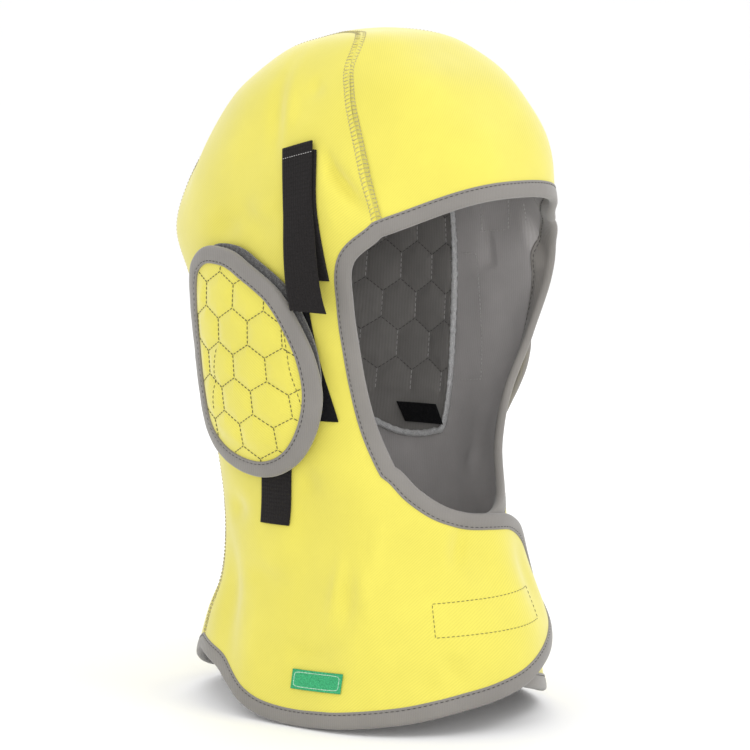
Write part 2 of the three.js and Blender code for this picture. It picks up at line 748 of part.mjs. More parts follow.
// A closed outline filled by rings round its middle
function roundSheet(corners, spokes, size, side, dome, rings) {
  const { width, height, back, drop } = size;
  const closed = [...corners, corners[0]];
  const before = corners[corners.length - 1];
  const outline = [...Array(spokes).keys()].map(
    (i) => alongTable(closed, (i * corners.length) / spokes, before),
  );
  const at = (row, f) => {
    const y = back + row.back * width * f;
    const z = drop - row.up * height * f;
    return raisedVertex(sideVertex(y, z, side), dome(f));
  };
  const vertices = [at({ back: 0, up: 0 }, 0)];
  for (const f of rings) for (const row of outline) vertices.push(at(row, f));
  const cells = [];
  for (let ring = 0; ring < rings.length; ring += 1) {
    for (let i = 0; i < spokes; i += 1) {
      const j = (i + 1) % spokes;
      const out = 1 + ring * spokes;
      const inn = out - spokes;
      const cell = ring === 0 ? [0, out + i, out + j, 0] : [inn + i, out + i, out + j, inn + j];
      cells.push(side < 0 ? cell : cell.reverse());
    }
  }
  const edge = 1 + (rings.length - 1) * spokes;
  const free = outline.map((row, i) => ({
    edge: vertices[edge + i], lip: vertices[edge - spokes + i],
  }));
  return { vertices, cells, free };
}

// A strip of webbing down the side of the head, from one drop to another
function strap(side, { width, back, slant, drop, length, rise, steps }) {
  const vertices = [];
  const cells = [];
  const wide = STRAP_COLUMNS;
  for (let row = 0; row <= steps; row += 1) {
    const f = row / steps;
    for (let column = 0; column <= wide; column += 1) {
      const y = back + slant * f + width * (column / wide - 0.5);
      vertices.push(raisedVertex(sideVertex(y, drop + length * f, side), rise(f)));
      if (row > 0 && column > 0) {
        const at = row * (wide + 1) + column;
        const cell = [at - wide - 2, at - wide - 1, at, at - 1];
        cells.push(side < 0 ? cell : cell.reverse());
      }
    }
  }
  return { vertices, cells };
}

// A tape across the front, between the two flaps. Its columns stand where the flaps' do.
function frontTape() {
  const vertices = [];
  const cells = [];
  const angles = THROAT_EDGE.map((row) => row.angle)
    .filter((angle) => angle > FASTENER.from + 2 && angle < FASTENER.to - 2);
  const columns = [FASTENER.from, ...angles, FASTENER.to];
  columns.forEach((angle, column) => {
    const f = (angle - FASTENER.from) / (FASTENER.to - FASTENER.from) - 0.5;
    for (let row = 0; row <= FASTENER.rows; row += 1) {
      const down = FASTENER_HEIGHT * (row / FASTENER.rows - 0.5) - FASTENER_RISE * f;
      vertices.push(vertex(onForm(angle, FASTENER_LEVEL + down / HOOD_HEIGHT), -1, false));
      if (row > 0 && column > 0) {
        const at = column * (FASTENER.rows + 1) + row;
        const before = at - FASTENER.rows - 1;
        cells.push([before - 1, at - 1, at, before]);
      }
    }
  });
  return { vertices, cells };
}

const group = new THREE.Group();

function piece(name, geometry, color, roughness) {
  const material = new THREE.MeshStandardMaterial({ color, roughness, metalness: 0 });
  const mesh = new THREE.Mesh(geometry, material);
  mesh.name = name;
  group.add(mesh);
}

// Heights of the layers, outward from the form
const liningTop = -SHELL - GAP;
const liningBottom = liningTop - LINING;
const sides = [['right', -1], ['left', 1]];

function hood() {
  const stations = seamStations();
  const crown = crownSheet(stations);
  piece('crown_panel', layer(crown, 0, -SHELL), YELLOW, 0.8);
  piece('crown_lining', layer(crown, liningTop, liningBottom), GREY, 0.95);
  const points = sidePoints(stations);
  const panels = {};
  for (const [name, side] of sides) {
    panels[name] = sideSheet(points, side, side < 0);
    piece(`side_panel_${name}`, layer(panels[name], 0, -SHELL), YELLOW, 0.8);
    piece(`side_lining_${name}`, layer(panels[name], liningTop, liningBottom), GREY, 0.95);
  }
  const stops = [
    ...crown.brow.slice().reverse(),
    ...panels.right.free,
    ...crown.tail,
    ...panels.left.free.slice().reverse(),
  ];
  piece('edge_binding', foldedTape(stops, 0, liningBottom), GREY, 0.85);
}

function frontFastener() {
  const tape = frontTape();
  const loopTop = SOFT_GAP + FASTENER_TAPE;
  const hookBottom = loopTop + GAP;
  piece('fastener_loop_tape', layer(tape, loopTop, SOFT_GAP), BLACK, 0.9);
  piece('fastener_hook_tape', layer(tape, hookBottom + FASTENER_TAPE, hookBottom), BLACK, 0.9);
}

function earPieces(name, side) {
  const hookTop = TAPE_GAP + WEBBING;
  const fleeceBottom = hookTop + SOFT_GAP;
  const tapeRoom = BINDING_GAP + BINDING_CLOTH + SOFT_GAP;
  const flapBottom = fleeceBottom + EAR_FLEECE + tapeRoom;
  const lipShare = 1 - (2 * BINDING_WIDTH) / EAR_WIDTH;
  const dome = (f) => EAR_DOME * (1 - f ** 2);
  const fleeceDome = (f) => EAR_FLEECE_DOME * (1 - f ** 2);
  const ear = { width: EAR_WIDTH, height: EAR_HEIGHT, back: EAR_BACK, drop: EAR_DROP };
  const fleece = {
    width: EAR_WIDTH * EAR_FLEECE_CUT,
    height: EAR_HEIGHT * EAR_FLEECE_CUT,
    back: EAR_BACK - EAR_FLEECE_FORWARD,
    drop: EAR_DROP - EAR_FLEECE_UP,
  };
  const rings = [EAR_INNER_RING, lipShare, 1];
  const flap = roundSheet(EAR_OUTLINE, EAR_SPOKES, ear, side, dome, rings);
  const pile = roundSheet(EAR_OUTLINE, EAR_SPOKES, fleece, side, fleeceDome, FLEECE_RINGS);
  piece(`ear_flap_${name}`, layer(flap, flapBottom + EAR_FLAP, flapBottom), YELLOW, 0.8);
  piece(`ear_flap_binding_${name}`, foldedTape(flap.free, flapBottom + EAR_FLAP, flapBottom),
    GREY, 0.85);
  piece(`ear_fleece_${name}`, layer(pile, fleeceBottom + EAR_FLEECE, fleeceBottom), DARK_GREY, 1);
}

function pocketPieces(name, side) {
  const pocket = { width: POCKET_WIDTH, height: POCKET_HEIGHT, back: POCKET_BACK, drop: POCKET_DROP };
  const top = liningBottom - SOFT_GAP;
  const panel = roundSheet(POCKET_OUTLINE, POCKET_SPOKES, pocket, side, () => 0, POCKET_RINGS);
  piece(`ear_pocket_${name}`, layer(panel, top, top - POCKET_CLOTH), DARK_GREY, 0.95);
  const patchTop = top - POCKET_CLOTH - SOFT_GAP;
  const patch = strap(side, {
    width: PATCH_WIDTH, back: PATCH_BACK, slant: 0, drop: PATCH_DROP - PATCH_HEIGHT / 2,
    length: PATCH_HEIGHT, rise: () => 0, steps: 1,
  });
  piece(`pocket_patch_${name}`, layer(patch, patchTop, patchTop - PATCH_CLOTH), BLACK, 0.9);
}

function straps(name, side) {
  const overRear = TAPE_GAP + WEBBING + TAPE_GAP;
  const hanging = (f) => overRear + STRAP_RISE * ramp(STRAP_RISE_FROM, STRAP_RISE_TO, f);
  const flat = () => TAPE_GAP;
  const strips = [
    ['upper_strap_front', FRONT_STRAP, hanging],
    ['upper_strap_back', REAR_STRAP, flat],
    ['ear_hook_tape', HOOK_TAPE, flat],
    ['lower_strap', LOWER_STRAP, flat],
  ];
  for (const [kind, place, rise] of strips) {
    const sheet = strap(side, { width: WEBBING_WIDTH, rise, ...place });
    piece(`${kind}_${name}`, layer(sheet, WEBBING, 0), BLACK, 0.7);
  }
}

function label() {
  const sheet = strap(-1, {
    width: LABEL_WIDTH, back: LABEL_BACK, slant: 0, length: LABEL_HEIGHT, steps: 2,
    drop: HOOD_HEIGHT - LABEL_RISE - LABEL_HEIGHT / 2, rise: () => TAPE_GAP,
  });
  piece('woven_label', layer(sheet, LABEL_CLOTH, 0), GREEN, 0.7);
}

hood();
frontFastener();
for (const [name, side] of sides) {
  earPieces(name, side);
  pocketPieces(name, side);
  straps(name, side);
}
label();

// The lining's inner side over the head's axis is at height 0
const top = cast(vector(0, 0, -EAR_LEVEL), vector(0, 0, 1));
group.position.z = -top.z - liningBottom;

export default group;
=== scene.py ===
"""A winter liner for a hard hat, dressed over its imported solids.

Shapes are worked out in millimetres on the same outer form as the solids, with the crown
at height 0, and go into Blender in metres.
"""
import math

import bpy
import numpy as np
from mathutils import Matrix, Vector


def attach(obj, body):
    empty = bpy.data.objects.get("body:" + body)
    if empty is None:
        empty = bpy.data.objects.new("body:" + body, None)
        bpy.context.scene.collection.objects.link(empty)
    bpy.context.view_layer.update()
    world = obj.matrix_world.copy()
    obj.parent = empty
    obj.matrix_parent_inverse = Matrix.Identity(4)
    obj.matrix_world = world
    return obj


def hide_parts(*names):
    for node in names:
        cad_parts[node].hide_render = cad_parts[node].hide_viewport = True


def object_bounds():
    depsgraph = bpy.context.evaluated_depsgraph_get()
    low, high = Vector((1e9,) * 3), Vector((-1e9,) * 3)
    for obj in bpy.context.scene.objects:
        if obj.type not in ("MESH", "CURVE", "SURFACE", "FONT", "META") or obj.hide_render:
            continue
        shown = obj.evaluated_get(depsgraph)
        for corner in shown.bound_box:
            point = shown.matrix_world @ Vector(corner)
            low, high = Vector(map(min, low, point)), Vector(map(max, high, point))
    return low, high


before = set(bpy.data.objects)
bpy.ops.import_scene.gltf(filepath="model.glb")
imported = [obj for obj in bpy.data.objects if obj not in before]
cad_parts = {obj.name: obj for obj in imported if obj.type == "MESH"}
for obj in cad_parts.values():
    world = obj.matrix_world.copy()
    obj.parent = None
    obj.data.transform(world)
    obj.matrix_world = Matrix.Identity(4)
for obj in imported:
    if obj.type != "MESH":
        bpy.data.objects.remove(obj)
cad_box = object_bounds()

# Driving sizes, as in the part's source
HEIGHT = 372.0
WIDTH = 166.0
DEPTH = 228.0
EAR_LEVEL = 110.0
SHELL = 1.1
LINING_TOP = -1.25
LINING_BOTTOM = -2.9
FLAP_LIFT = 7.0
RIPPLE = 0.5
MASK_FADE = 6.0

# drop, middle, half, front, back, squareness in front, squareness behind
SECTIONS = np.array([
    [0, -0.066, 0, 0, 0, 2.5, 2.5], [0.003, -0.066, 0.12, 0.075, 0.07, 2.5, 2.5],
    [0.012, -0.066, 0.211, 0.132, 0.123, 2.5, 2.5], [0.03, -0.061, 0.277, 0.193, 0.215, 2.5, 2.5],
    [0.065, -0.048, 0.349, 0.294, 0.289, 2.5, 2.5], [0.102, -0.035, 0.398, 0.368, 0.36, 2.5, 2.4],
    [0.156, -0.022, 0.44, 0.439, 0.421, 2.5, 2.3],
    [0.228, -0.009, 0.476, 0.478, 0.482, 2.5, 2.25], [0.301, 0, 0.5, 0.491, 0.509, 2.6, 2.25],
    [0.376, 0, 0.503, 0.474, 0.465, 2.5, 2.15], [0.457, 0, 0.494, 0.425, 0.425, 2.2, 2.15],
    [0.538, 0, 0.479, 0.36, 0.399, 1.95, 2.15], [0.618, 0, 0.455, 0.346, 0.379, 1.8, 2.15],
    [0.694, 0, 0.434, 0.38, 0.368, 1.75, 2.15], [0.766, 0, 0.428, 0.415, 0.364, 1.75, 2.15],
    [0.823, 0, 0.44, 0.452, 0.373, 1.8, 2.15], [0.876, 0, 0.464, 0.477, 0.412, 1.9, 2.15],
    [0.93, 0, 0.488, 0.485, 0.439, 1.95, 2.15], [0.981, 0, 0.506, 0.487, 0.452, 2, 2.15],
    [1.062, 0, 0.524, 0.487, 0.461, 2, 2.15],
])
# turn from the brow over the crown, half width of the crown panel
CROWN_SEAM = np.array([
    [0, 0.420], [14, 0.418], [28, 0.413], [41, 0.402], [52, 0.382], [60, 0.353],
    [66, 0.314], [70.5, 0.247], [74, 0.198], [79, 0.148], [88, 0.130], [104, 0.145],
    [125, 0.187], [145, 0.228], [162, 0.264], [180, 0.295],
])
# share of the way from ear level to the tail, half width
NAPE_SEAM = np.array([
    [0, 0.295], [0.2, 0.300], [0.4, 0.296], [0.6, 0.295], [0.77, 0.307], [0.9, 0.338],
    [1, 0.372],
])
BROW_DROP, BROW_FALL, BROW_POWER = 0.234, 0.051, 2.6
TAIL_DROP, TAIL_RISE = 0.989, 0.060
# angle round the head from the front, drop
FACE_EDGE = np.array([
    [-49.5, 0.301], [-51.8, 0.328], [-52.0, 0.371], [-50.5, 0.435], [-46.5, 0.524],
    [-40.5, 0.591], [-36.0, 0.625],
])
THROAT_EDGE = np.array([
    [-36, 0.625], [-27, 0.660], [-18, 0.686], [-9, 0.699], [0, 0.704], [9, 0.710],
    [18, 0.727], [25, 0.752], [30, 0.783],
])
FLAP_END = np.array([[30, 0.783], [34, 0.810], [35.5, 0.840], [34, 0.864], [29, 0.882]])
HEM = np.array([
    [-122, 0.938], [-114, 0.954], [-107, 0.970], [-97, 0.988], [-86, 0.997], [-71, 1.000],
    [-54, 0.996], [-36, 0.985], [-27, 0.976], [-18, 0.965], [-9, 0.954], [0, 0.939],
    [9, 0.918], [19, 0.899], [29, 0.882],
])
# angle, drop, width in degrees, height as a share, slant, outward depth as a share
FOLDS = np.array([
    [-121, 0.85, 9, 0.08, 6, -0.03], [-62, 0.24, 11, 0.07, -8, 0.016],
    [-66, 0.7, 20, 0.04, 0, -0.016], [-8, 0.775, 7, 0.06, 3, -0.014],
    [-98, 0.93, 9, 0.06, 0, 0.01], [-60, 0.9, 10, 0.07, 5, -0.01],
    [-100, 0.17, 16, 0.05, 0, -0.014], [118, 0.86, 10, 0.08, -6, -0.024],
    [66, 0.25, 12, 0.07, 8, 0.012], [70, 0.69, 18, 0.045, 0, -0.014],
    [58, 0.9, 12, 0.08, -5, -0.012], [180, 0.73, 15, 0.05, 0, -0.016],
    [104, 0.18, 15, 0.05, 0, -0.012], [46, 0.362, 12, 0.06, 0, 0.052],
    [62, 0.47, 14, 0.09, 0, 0.036],
])
# Small creases: angle, drop, width in degrees, height as a share, slant, depth in mm
CREASES = np.array([
    [54, 0.326, 16, 0.044, 0, 6], [38, 0.244, 12, 0.036, 0, -6.2],
    [-55, 0.214, 3.6, 0.037, 7, -6.2], [-64, 0.245, 4.5, 0.03, 5, 3.6],
    [-95, 0.27, 9, 0.022, 6, -2.6], [-109, 0.285, 7, 0.018, 0, -2.5], [-92, 0.262, 8, 0.02, 0, 2],
    [-71, 0.082, 4, 0.012, 0, -1.5], [-92, 0.12, 4, 0.05, 3, -2], [-83, 0.12, 3.5, 0.045, 3, 1.7],
    [-118, 0.705, 8, 0.02, 0, -3.4], [-100, 0.798, 14, 0.018, 2, -2.9],
    [-72, 0.65, 5, 0.02, 0, -2.5], [-53, 0.825, 2.6, 0.03, 0, -2.5],
    [-58, 0.8, 2.6, 0.045, -2, 1.7], [-47, 0.8, 2.6, 0.045, 2, 1.7],
    [-14, 0.745, 2.6, 0.03, -2, -3.1], [-20, 0.74, 3, 0.035, -2, 1.5],
    [-21, 0.912, 2.6, 0.025, 2, -2.2], [-69, 0.898, 9, 0.012, 0, -2],
    [-28, 0.932, 2.6, 0.02, 0, -1.9], [-43, 0.75, 3, 0.045, -2, 1.5], [12, 0.8, 6, 0.05, 0, -2.7],
    [74, 0.37, 5, 0.06, -2, 1.8], [64, 0.39, 5, 0.06, 2, -1.4], [104, 0.8, 12, 0.018, 0, -2.7],
    [72, 0.655, 5, 0.02, 0, -2.4], [60, 0.82, 2.8, 0.035, 0, -2.4], [150, 0.75, 5, 0.04, 3, -2.7],
    [-150, 0.78, 5, 0.05, 3, -2.5], [180, 0.6, 9, 0.022, 0, -2.4], [-150, 0.2, 5, 0.05, 4, -1.9],
    [150, 0.22, 5, 0.05, -4, -1.9],
])
# back and drop of both ends, and half width, of what is laid flat on the cloth
LAID = np.array([
    [-21, 61, -41, 146, 11], [-23.5, 61, -40.5, 131, 11], [-25, 147, -32, 207, 11],
    [-8, 208, 1, 267, 11], [-46, 348, -26, 348, 7],
])
# back, up, as shares of the piece's width and height
EAR_OUTLINE = np.array([
    [0.012, 0.464], [0.195, 0.499], [0.356, 0.486], [0.470, 0.406], [0.496, 0.246],
    [0.486, 0.043], [0.470, -0.160], [0.422, -0.330], [0.276, -0.439], [0.069, -0.496],
    [-0.137, -0.498], [-0.309, -0.422], [-0.435, -0.264], [-0.501, -0.064], [-0.464, 0.128],
    [-0.298, 0.326],
])
POCKET_OUTLINE = np.array([
    [-0.48, 0.44], [-0.40, 0.50], [0.00, 0.50], [0.40, 0.49], [0.50, 0.40], [0.50, 0.00],
    [0.50, -0.30], [0.42, -0.40], [0.00, -0.495], [-0.36, -0.49], [-0.49, -0.42],
    [-0.50, 0.00],
])


# Curves and the outer form

def curve(rows, places, lead=None):
    """Catmull-Rom curve through rows, at row numbers places."""
    rows = np.asarray(rows, float)
    last = len(rows) - 1
    places = np.atleast_1d(np.asarray(places, float))
    i = np.clip(np.floor(places).astype(int), 0, last - 1)
    f = (places - i).reshape((-1,) + (1,) * (rows.ndim - 1))
    first = 2 * rows[0] - rows[1] if lead is None else lead
    led = np.concatenate([[first], rows, [2 * rows[-1] - rows[-2]]])
    a, b, c, d = (led[i + k] for k in range(4))
    bend = (2 * a - 5 * b + 4 * c - d) * f ** 2 + (3 * b - a - 3 * c + d) * f ** 3
    return 0.5 * (2 * b + (c - a) * f + bend)


def look_up(rows, lead=None):
    """A function from the first column's value to the others."""
    fine = curve(rows, np.linspace(0, len(rows) - 1, (len(rows) - 1) * 40 + 1), lead)
    key = np.maximum.accumulate(fine[:, 0])
    return lambda value: [np.interp(value, key, fine[:, k]) for k in range(1, fine.shape[1])]


section_at = look_up(SECTIONS, SECTIONS[1] * [1, 1, -1, -1, -1, 1, 1])
crown_half = look_up(CROWN_SEAM)
nape_half = look_up(NAPE_SEAM)


def unit(v):
    return v / np.maximum(np.linalg.norm(v, axis=-1, keepdims=True), 1e-12)


def smooth(low, high, value):
    t = np.clip((value - low) / (high - low), 0, 1)
    return t * t * (3 - 2 * t)


def distances(points):
    """Distance of each point from the first, along their line."""
    return np.concatenate([[0], np.cumsum(np.linalg.norm(np.diff(points, axis=0), axis=1))])


def inside(p):
    middle, half, front, back, sq_front, sq_back = section_at(-p[:, 2] / HEIGHT)
    y = p[:, 1] - middle * DEPTH
    ahead = y < 0
    reach = np.maximum(np.where(ahead, front, back) * DEPTH, 1e-6)
    half = np.maximum(half * WIDTH, 1e-6)
    square = np.where(ahead, sq_front, sq_back)
    level = (np.abs(p[:, 0]) / half) ** square + (np.abs(y) / reach) ** square
    return (p[:, 2] < 0) & (level < 1)


def cast(origin, direction):
    """Where rays from inside the hood meet the form."""
    origin, d = np.broadcast_arrays(np.atleast_2d(origin), unit(np.atleast_2d(direction)))
    low = np.zeros(len(origin))
    high = np.full(len(origin), 2 * DEPTH)
    for _ in range(30):
        mid = (low + high) / 2
        hit = inside(origin + d * mid[:, None])
        low = np.where(hit, mid, low)
        high = np.where(hit, high, mid)
    return origin + d * low[:, None]


def axis_of(p):
    axis = np.zeros_like(p)
    axis[:, 2] = np.minimum(p[:, 2], -EAR_LEVEL)
    return axis


def seat(p):
    """The point of the form outward from the head's axis through each guess."""
    axis = axis_of(p)
    return cast(axis, p - axis)


def normal_at(p, step=1.5):
    out = unit(p - axis_of(p))
    side = unit(np.stack([-out[:, 1], out[:, 0] + 1e-6, np.zeros(len(p))], -1))
    up = unit(np.cross(out, side))
    across = seat(p + side * step) - seat(p - side * step)
    upward = seat(p + up * step) - seat(p - up * step)
    return unit(np.cross(across, upward))


def on_form(angle, drop):
    turn = np.radians(angle)
    return seat(np.stack([np.sin(turn) * DEPTH / 2, -np.cos(turn) * DEPTH / 2,
                          -np.asarray(drop) * HEIGHT], -1))


def angle_of(p):
    """Angle round the head from the front."""
    return np.degrees(np.arctan2(p[:, 0], -p[:, 1]))


def folded(p, folds):
    angle = angle_of(p)
    drop = -p[:, 2] / HEIGHT
    height = np.zeros(len(p))
    for at, level, wide, tall, slant, depth in folds:
        down = (drop - level) / tall
        lean = (angle - at - slant * down + 540) % 360 - 180
        height += depth * np.exp(-(lean / wide) ** 2 - down ** 2)
    return height


def fold_height(p):
    return folded(p, FOLDS) * WIDTH


def lap_height(p):
    return FLAP_LIFT * smooth(-78, -44, angle_of(p)) * smooth(0.50, 0.66, -p[:, 2] / HEIGHT)


def uncovered(p):
    """0 under the pieces laid on the cloth, 1 away from them."""
    q = np.stack([p[:, 1], -p[:, 2]], -1)
    share = np.ones(len(p))
    for piece in LAID:
        start, run = piece[:2], piece[2:4] - piece[:2]
        f = np.clip((q - start) @ run / (run @ run), 0, 1)
        distance = np.linalg.norm(q - start - f[:, None] * run, axis=1)
        share = np.minimum(share, smooth(piece[4], piece[4] + MASK_FADE, distance))
    return share


def ripple(p):
    """Small soft unevenness and creases of worn cloth."""
    a, b, c = p[:, 0] / 17, p[:, 1] / 19, p[:, 2] / 23
    wave = np.sin(a + 1.7 * np.sin(b + 0.6)) * np.cos(1.3 * c + np.sin(a * 0.7))
    wave += 0.6 * np.sin(1.9 * b + 1.4 * np.cos(1.1 * c)) * np.sin(0.8 * a + c)
    return (RIPPLE * wave + folded(p, CREASES)) * uncovered(p)


def dressed(base, lapped=None):
    """Places and normals on the cloth over points of the form."""
    normal = normal_at(base)
    lift = fold_height(base) + ripple(base)
    if lapped is not None:
        lift = lift + lap_height(base) * lapped
    return base + normal * lift[:, None], normal


LIFT = -cast((0, 0, -EAR_LEVEL), (0, 0, 1))[0, 2] - LINING_BOTTOM


# Meshes

def linked(name, data):
    obj = bpy.data.objects.new(name, data)
    bpy.context.scene.collection.objects.link(obj)
    return obj


def add_mesh(name, verts, faces, material, slot=None, uv=None, nodes=()):
    mesh = bpy.data.meshes.new(name)
    points = np.asarray(verts, float) + [0, 0, LIFT]
    mesh.from_pydata((points * 0.001).tolist(), [], [list(map(int, f)) for f in faces])
    mesh.polygons.foreach_set("use_smooth", [True] * len(mesh.polygons))
    if uv is not None:
        layer = mesh.uv_layers.new(name="cloth")
        index = np.zeros(len(mesh.loops), int)
        mesh.loops.foreach_get("vertex_index", index)
        layer.data.foreach_set("uv", (np.asarray(uv)[index] * 0.001).ravel())
    mesh.materials.append(material)
    mesh.update()
    obj = linked(name, mesh)
    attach(obj, "root")
    if nodes:
        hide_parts(*nodes)
    return obj


def grid_faces(rows, columns, start=0, around=False):
    faces = []
    for j in range(rows - 1):
        a = start + j * columns
        for i in range(columns if around else columns - 1):
            k = (i + 1) % columns
            faces.append((a + i, a + k, a + columns + k, a + columns + i))
    return faces


def ring_faces(rings, sides):
    """Faces of a tube whose last ring meets its first."""
    last = (rings - 1) * sides
    closing = [(last + k, last + (k + 1) % sides, (k + 1) % sides, k) for k in range(sides)]
    return grid_faces(rings, sides, 0, True) + closing


def slab(name, place, normal, faces, top, bottom, material, slot, uv, nodes=()):
    """A closed layer of cloth between two heights, and its area in square metres."""
    count = len(place)
    top = np.broadcast_to(np.asarray(top, float), (count,))
    bottom = np.broadcast_to(np.asarray(bottom, float), (count,))
    verts = np.concatenate([place + normal * top[:, None], place + normal * bottom[:, None]])
    f = np.asarray(faces)
    a, b, c = (place[f[:, k]] for k in range(3))
    outward = np.einsum("ij,ij->i", np.cross(b - a, c - a), normal[f[:, 0]]).sum() > 0
    if not outward:
        f = f[:, ::-1]
    edges = np.concatenate([f[:, [k, (k + 1) % 4]] for k in range(4)])
    edges = edges[edges[:, 0] != edges[:, 1]]
    key = np.sort(edges, 1)
    _, first, times = np.unique(key, axis=0, return_index=True, return_counts=True)
    rim = edges[first[times == 1]]
    walls = np.stack([rim[:, 1], rim[:, 0], rim[:, 0] + count, rim[:, 1] + count], -1)
    every = np.concatenate([f, f[:, ::-1] + count, walls])
    every = [tuple(dict.fromkeys(row)) for row in every.tolist()]
    diagonal = place[f[:, 2]] - place[f[:, 0]]
    other = place[f[:, 3]] - place[f[:, 1]]
    area = np.linalg.norm(np.cross(diagonal, other), axis=1).sum() / 2 * 1e-6
    obj = add_mesh(name, verts, every, material, slot, np.concatenate([uv, uv]), nodes)
    return obj, area


def resample(points, step, closed=False, extra=None):
    """Points at even steps along a line, and extra columns carried along."""
    line = np.concatenate([points, points[:1]]) if closed else points
    run = distances(line)
    count = max(int(round(run[-1] / step)), 2)
    at = np.linspace(0, run[-1], count + 1)
    if closed:
        at = at[:-1]
    out = np.stack([np.interp(at, run, line[:, k]) for k in range(line.shape[1])], -1)
    if extra is None:
        return out
    column = np.concatenate([extra, extra[:1]]) if closed else extra
    return out, np.interp(at, run, column)


class Stitches:
    """Short lengths of thread laid along lines on a surface, gathered into one mesh."""

    SIDES = 5
    STEPS = 5

    def __init__(self):
        self.verts = []
        self.faces = []

    def add(self, starts, ends, normals, radius, arch):
        """Stitches between pairs of points, each arched over the surface."""
        t = np.linspace(0, 1, self.STEPS)
        bow = np.sin(t * math.pi) * arch - radius * 0.7
        thick = radius * np.array([0.35, 0.9, 1.0, 0.9, 0.35])
        along = ends - starts
        turn = np.linspace(0, 2 * math.pi, self.SIDES, endpoint=False)
        side = unit(np.cross(unit(along), normals))
        line = starts[:, None] + along[:, None] * t[None, :, None]
        line = line + normals[:, None] * bow[None, :, None]
        ring = (side[:, None, None] * np.cos(turn)[None, None, :, None]
                + normals[:, None, None] * np.sin(turn)[None, None, :, None])
        points = line[:, :, None] + ring * thick[None, :, None, None]
        base = sum(len(v) for v in self.verts)
        each = self.STEPS * self.SIDES
        one = grid_faces(self.STEPS, self.SIDES, 0, True)
        one += [tuple(range(self.SIDES))[::-1], tuple(range(each - self.SIDES, each))]
        for n in range(len(starts)):
            self.faces += [tuple(k + base + n * each for k in face) for face in one]
        self.verts.append(points.reshape(-1, 3))

    def line(self, points, normals, pitch=3.0, share=0.74, radius=0.22, arch=0.3):
        run = distances(points)
        count = max(int(run[-1] / pitch), 1)
        begin = np.arange(count) * run[-1] / count
        pick = [np.interp(begin + d, run, points[:, k])
                for d in (0, pitch * share) for k in range(3)]
        n = np.stack([np.interp(begin, run, normals[:, k]) for k in range(3)], -1)
        self.add(np.stack(pick[:3], -1), np.stack(pick[3:], -1), unit(n), radius, arch)

    def build(self, name, material, slot=None):
        return add_mesh(name, np.concatenate(self.verts), self.faces, material, slot)


# Materials

def fill(made, **values):
    """Sets a node's inputs, with _ in place of the spaces in their names."""
    for key, value in values.items():
        made.inputs[key.replace("_", " ")].default_value = value
    return made


def material(name, color, roughness, sheen=0.0, sheen_roughness=0.5, gloss=0.25):
    mat = bpy.data.materials.new(name)
    mat.use_nodes = True
    tree = mat.node_tree
    shader = fill(tree.nodes["Principled BSDF"], Base_Color=(*color, 1), Roughness=roughness,
                  Specular_IOR_Level=gloss, Sheen_Weight=sheen, Sheen_Roughness=sheen_roughness)
    return mat, tree, shader


def node(tree, kind, settings=None, **values):
    made = tree.nodes.new(kind)
    for key, value in (settings or {}).items():
        setattr(made, key, value)
    return fill(made, **values)


def place_texture(tree, texture, rate=1.0, turn=0.0, source="Object"):
    coordinates = tree.nodes.new("ShaderNodeTexCoord")
    mapping = node(tree, "ShaderNodeMapping", Scale=(rate, rate, rate), Rotation=(0, 0, turn))
    tree.links.new(coordinates.outputs[source], mapping.inputs["Vector"])
    tree.links.new(mapping.outputs["Vector"], texture.inputs["Vector"])


def noise(tree, scale, detail, roughness=0.5, source="Object", **values):
    made = node(tree, "ShaderNodeTexNoise", Scale=scale, Detail=detail, Roughness=roughness,
                **values)
    place_texture(tree, made, source=source)
    return made.outputs["Fac"]


# Rate at which a wave texture has bands of 1 mm with gaps of 1 mm
BAND_RATE = 157.08


def bands(tree, pitch, direction, turn=0.0, source="UV", **values):
    made = node(tree, "ShaderNodeTexWave", {"wave_type": "BANDS", "bands_direction": direction},
                Scale=1.0, Detail=1.0, **values)
    place_texture(tree, made, BAND_RATE / pitch, turn, source)
    return made.outputs["Fac"]


def ramp(tree, value, stops):
    made = tree.nodes.new("ShaderNodeValToRGB")
    tree.links.new(value, made.inputs["Fac"])
    elements = made.color_ramp.elements
    while len(elements) < len(stops):
        elements.new(0.5)
    for element, (place, color) in zip(elements, stops):
        element.position = place
        element.color = (*color, 1)
    return made.outputs["Color"]


def finish(tree, shader, tone, layers):
    """Colour of a shader, and its relief as layers: (output, strength, distance in mm)."""
    tree.links.new(tone, shader.inputs["Base Color"])
    below = None
    for output, strength, distance in layers:
        made = node(tree, "ShaderNodeBump", Strength=strength, Distance=distance * 0.001)
        tree.links.new(output, made.inputs["Height"])
        if below is not None:
            tree.links.new(below, made.inputs["Normal"])
        below = made.outputs["Normal"]
    tree.links.new(below, shader.inputs["Normal"])


def shade(color, factor):
    return tuple(min(c * factor, 1.0) for c in color)


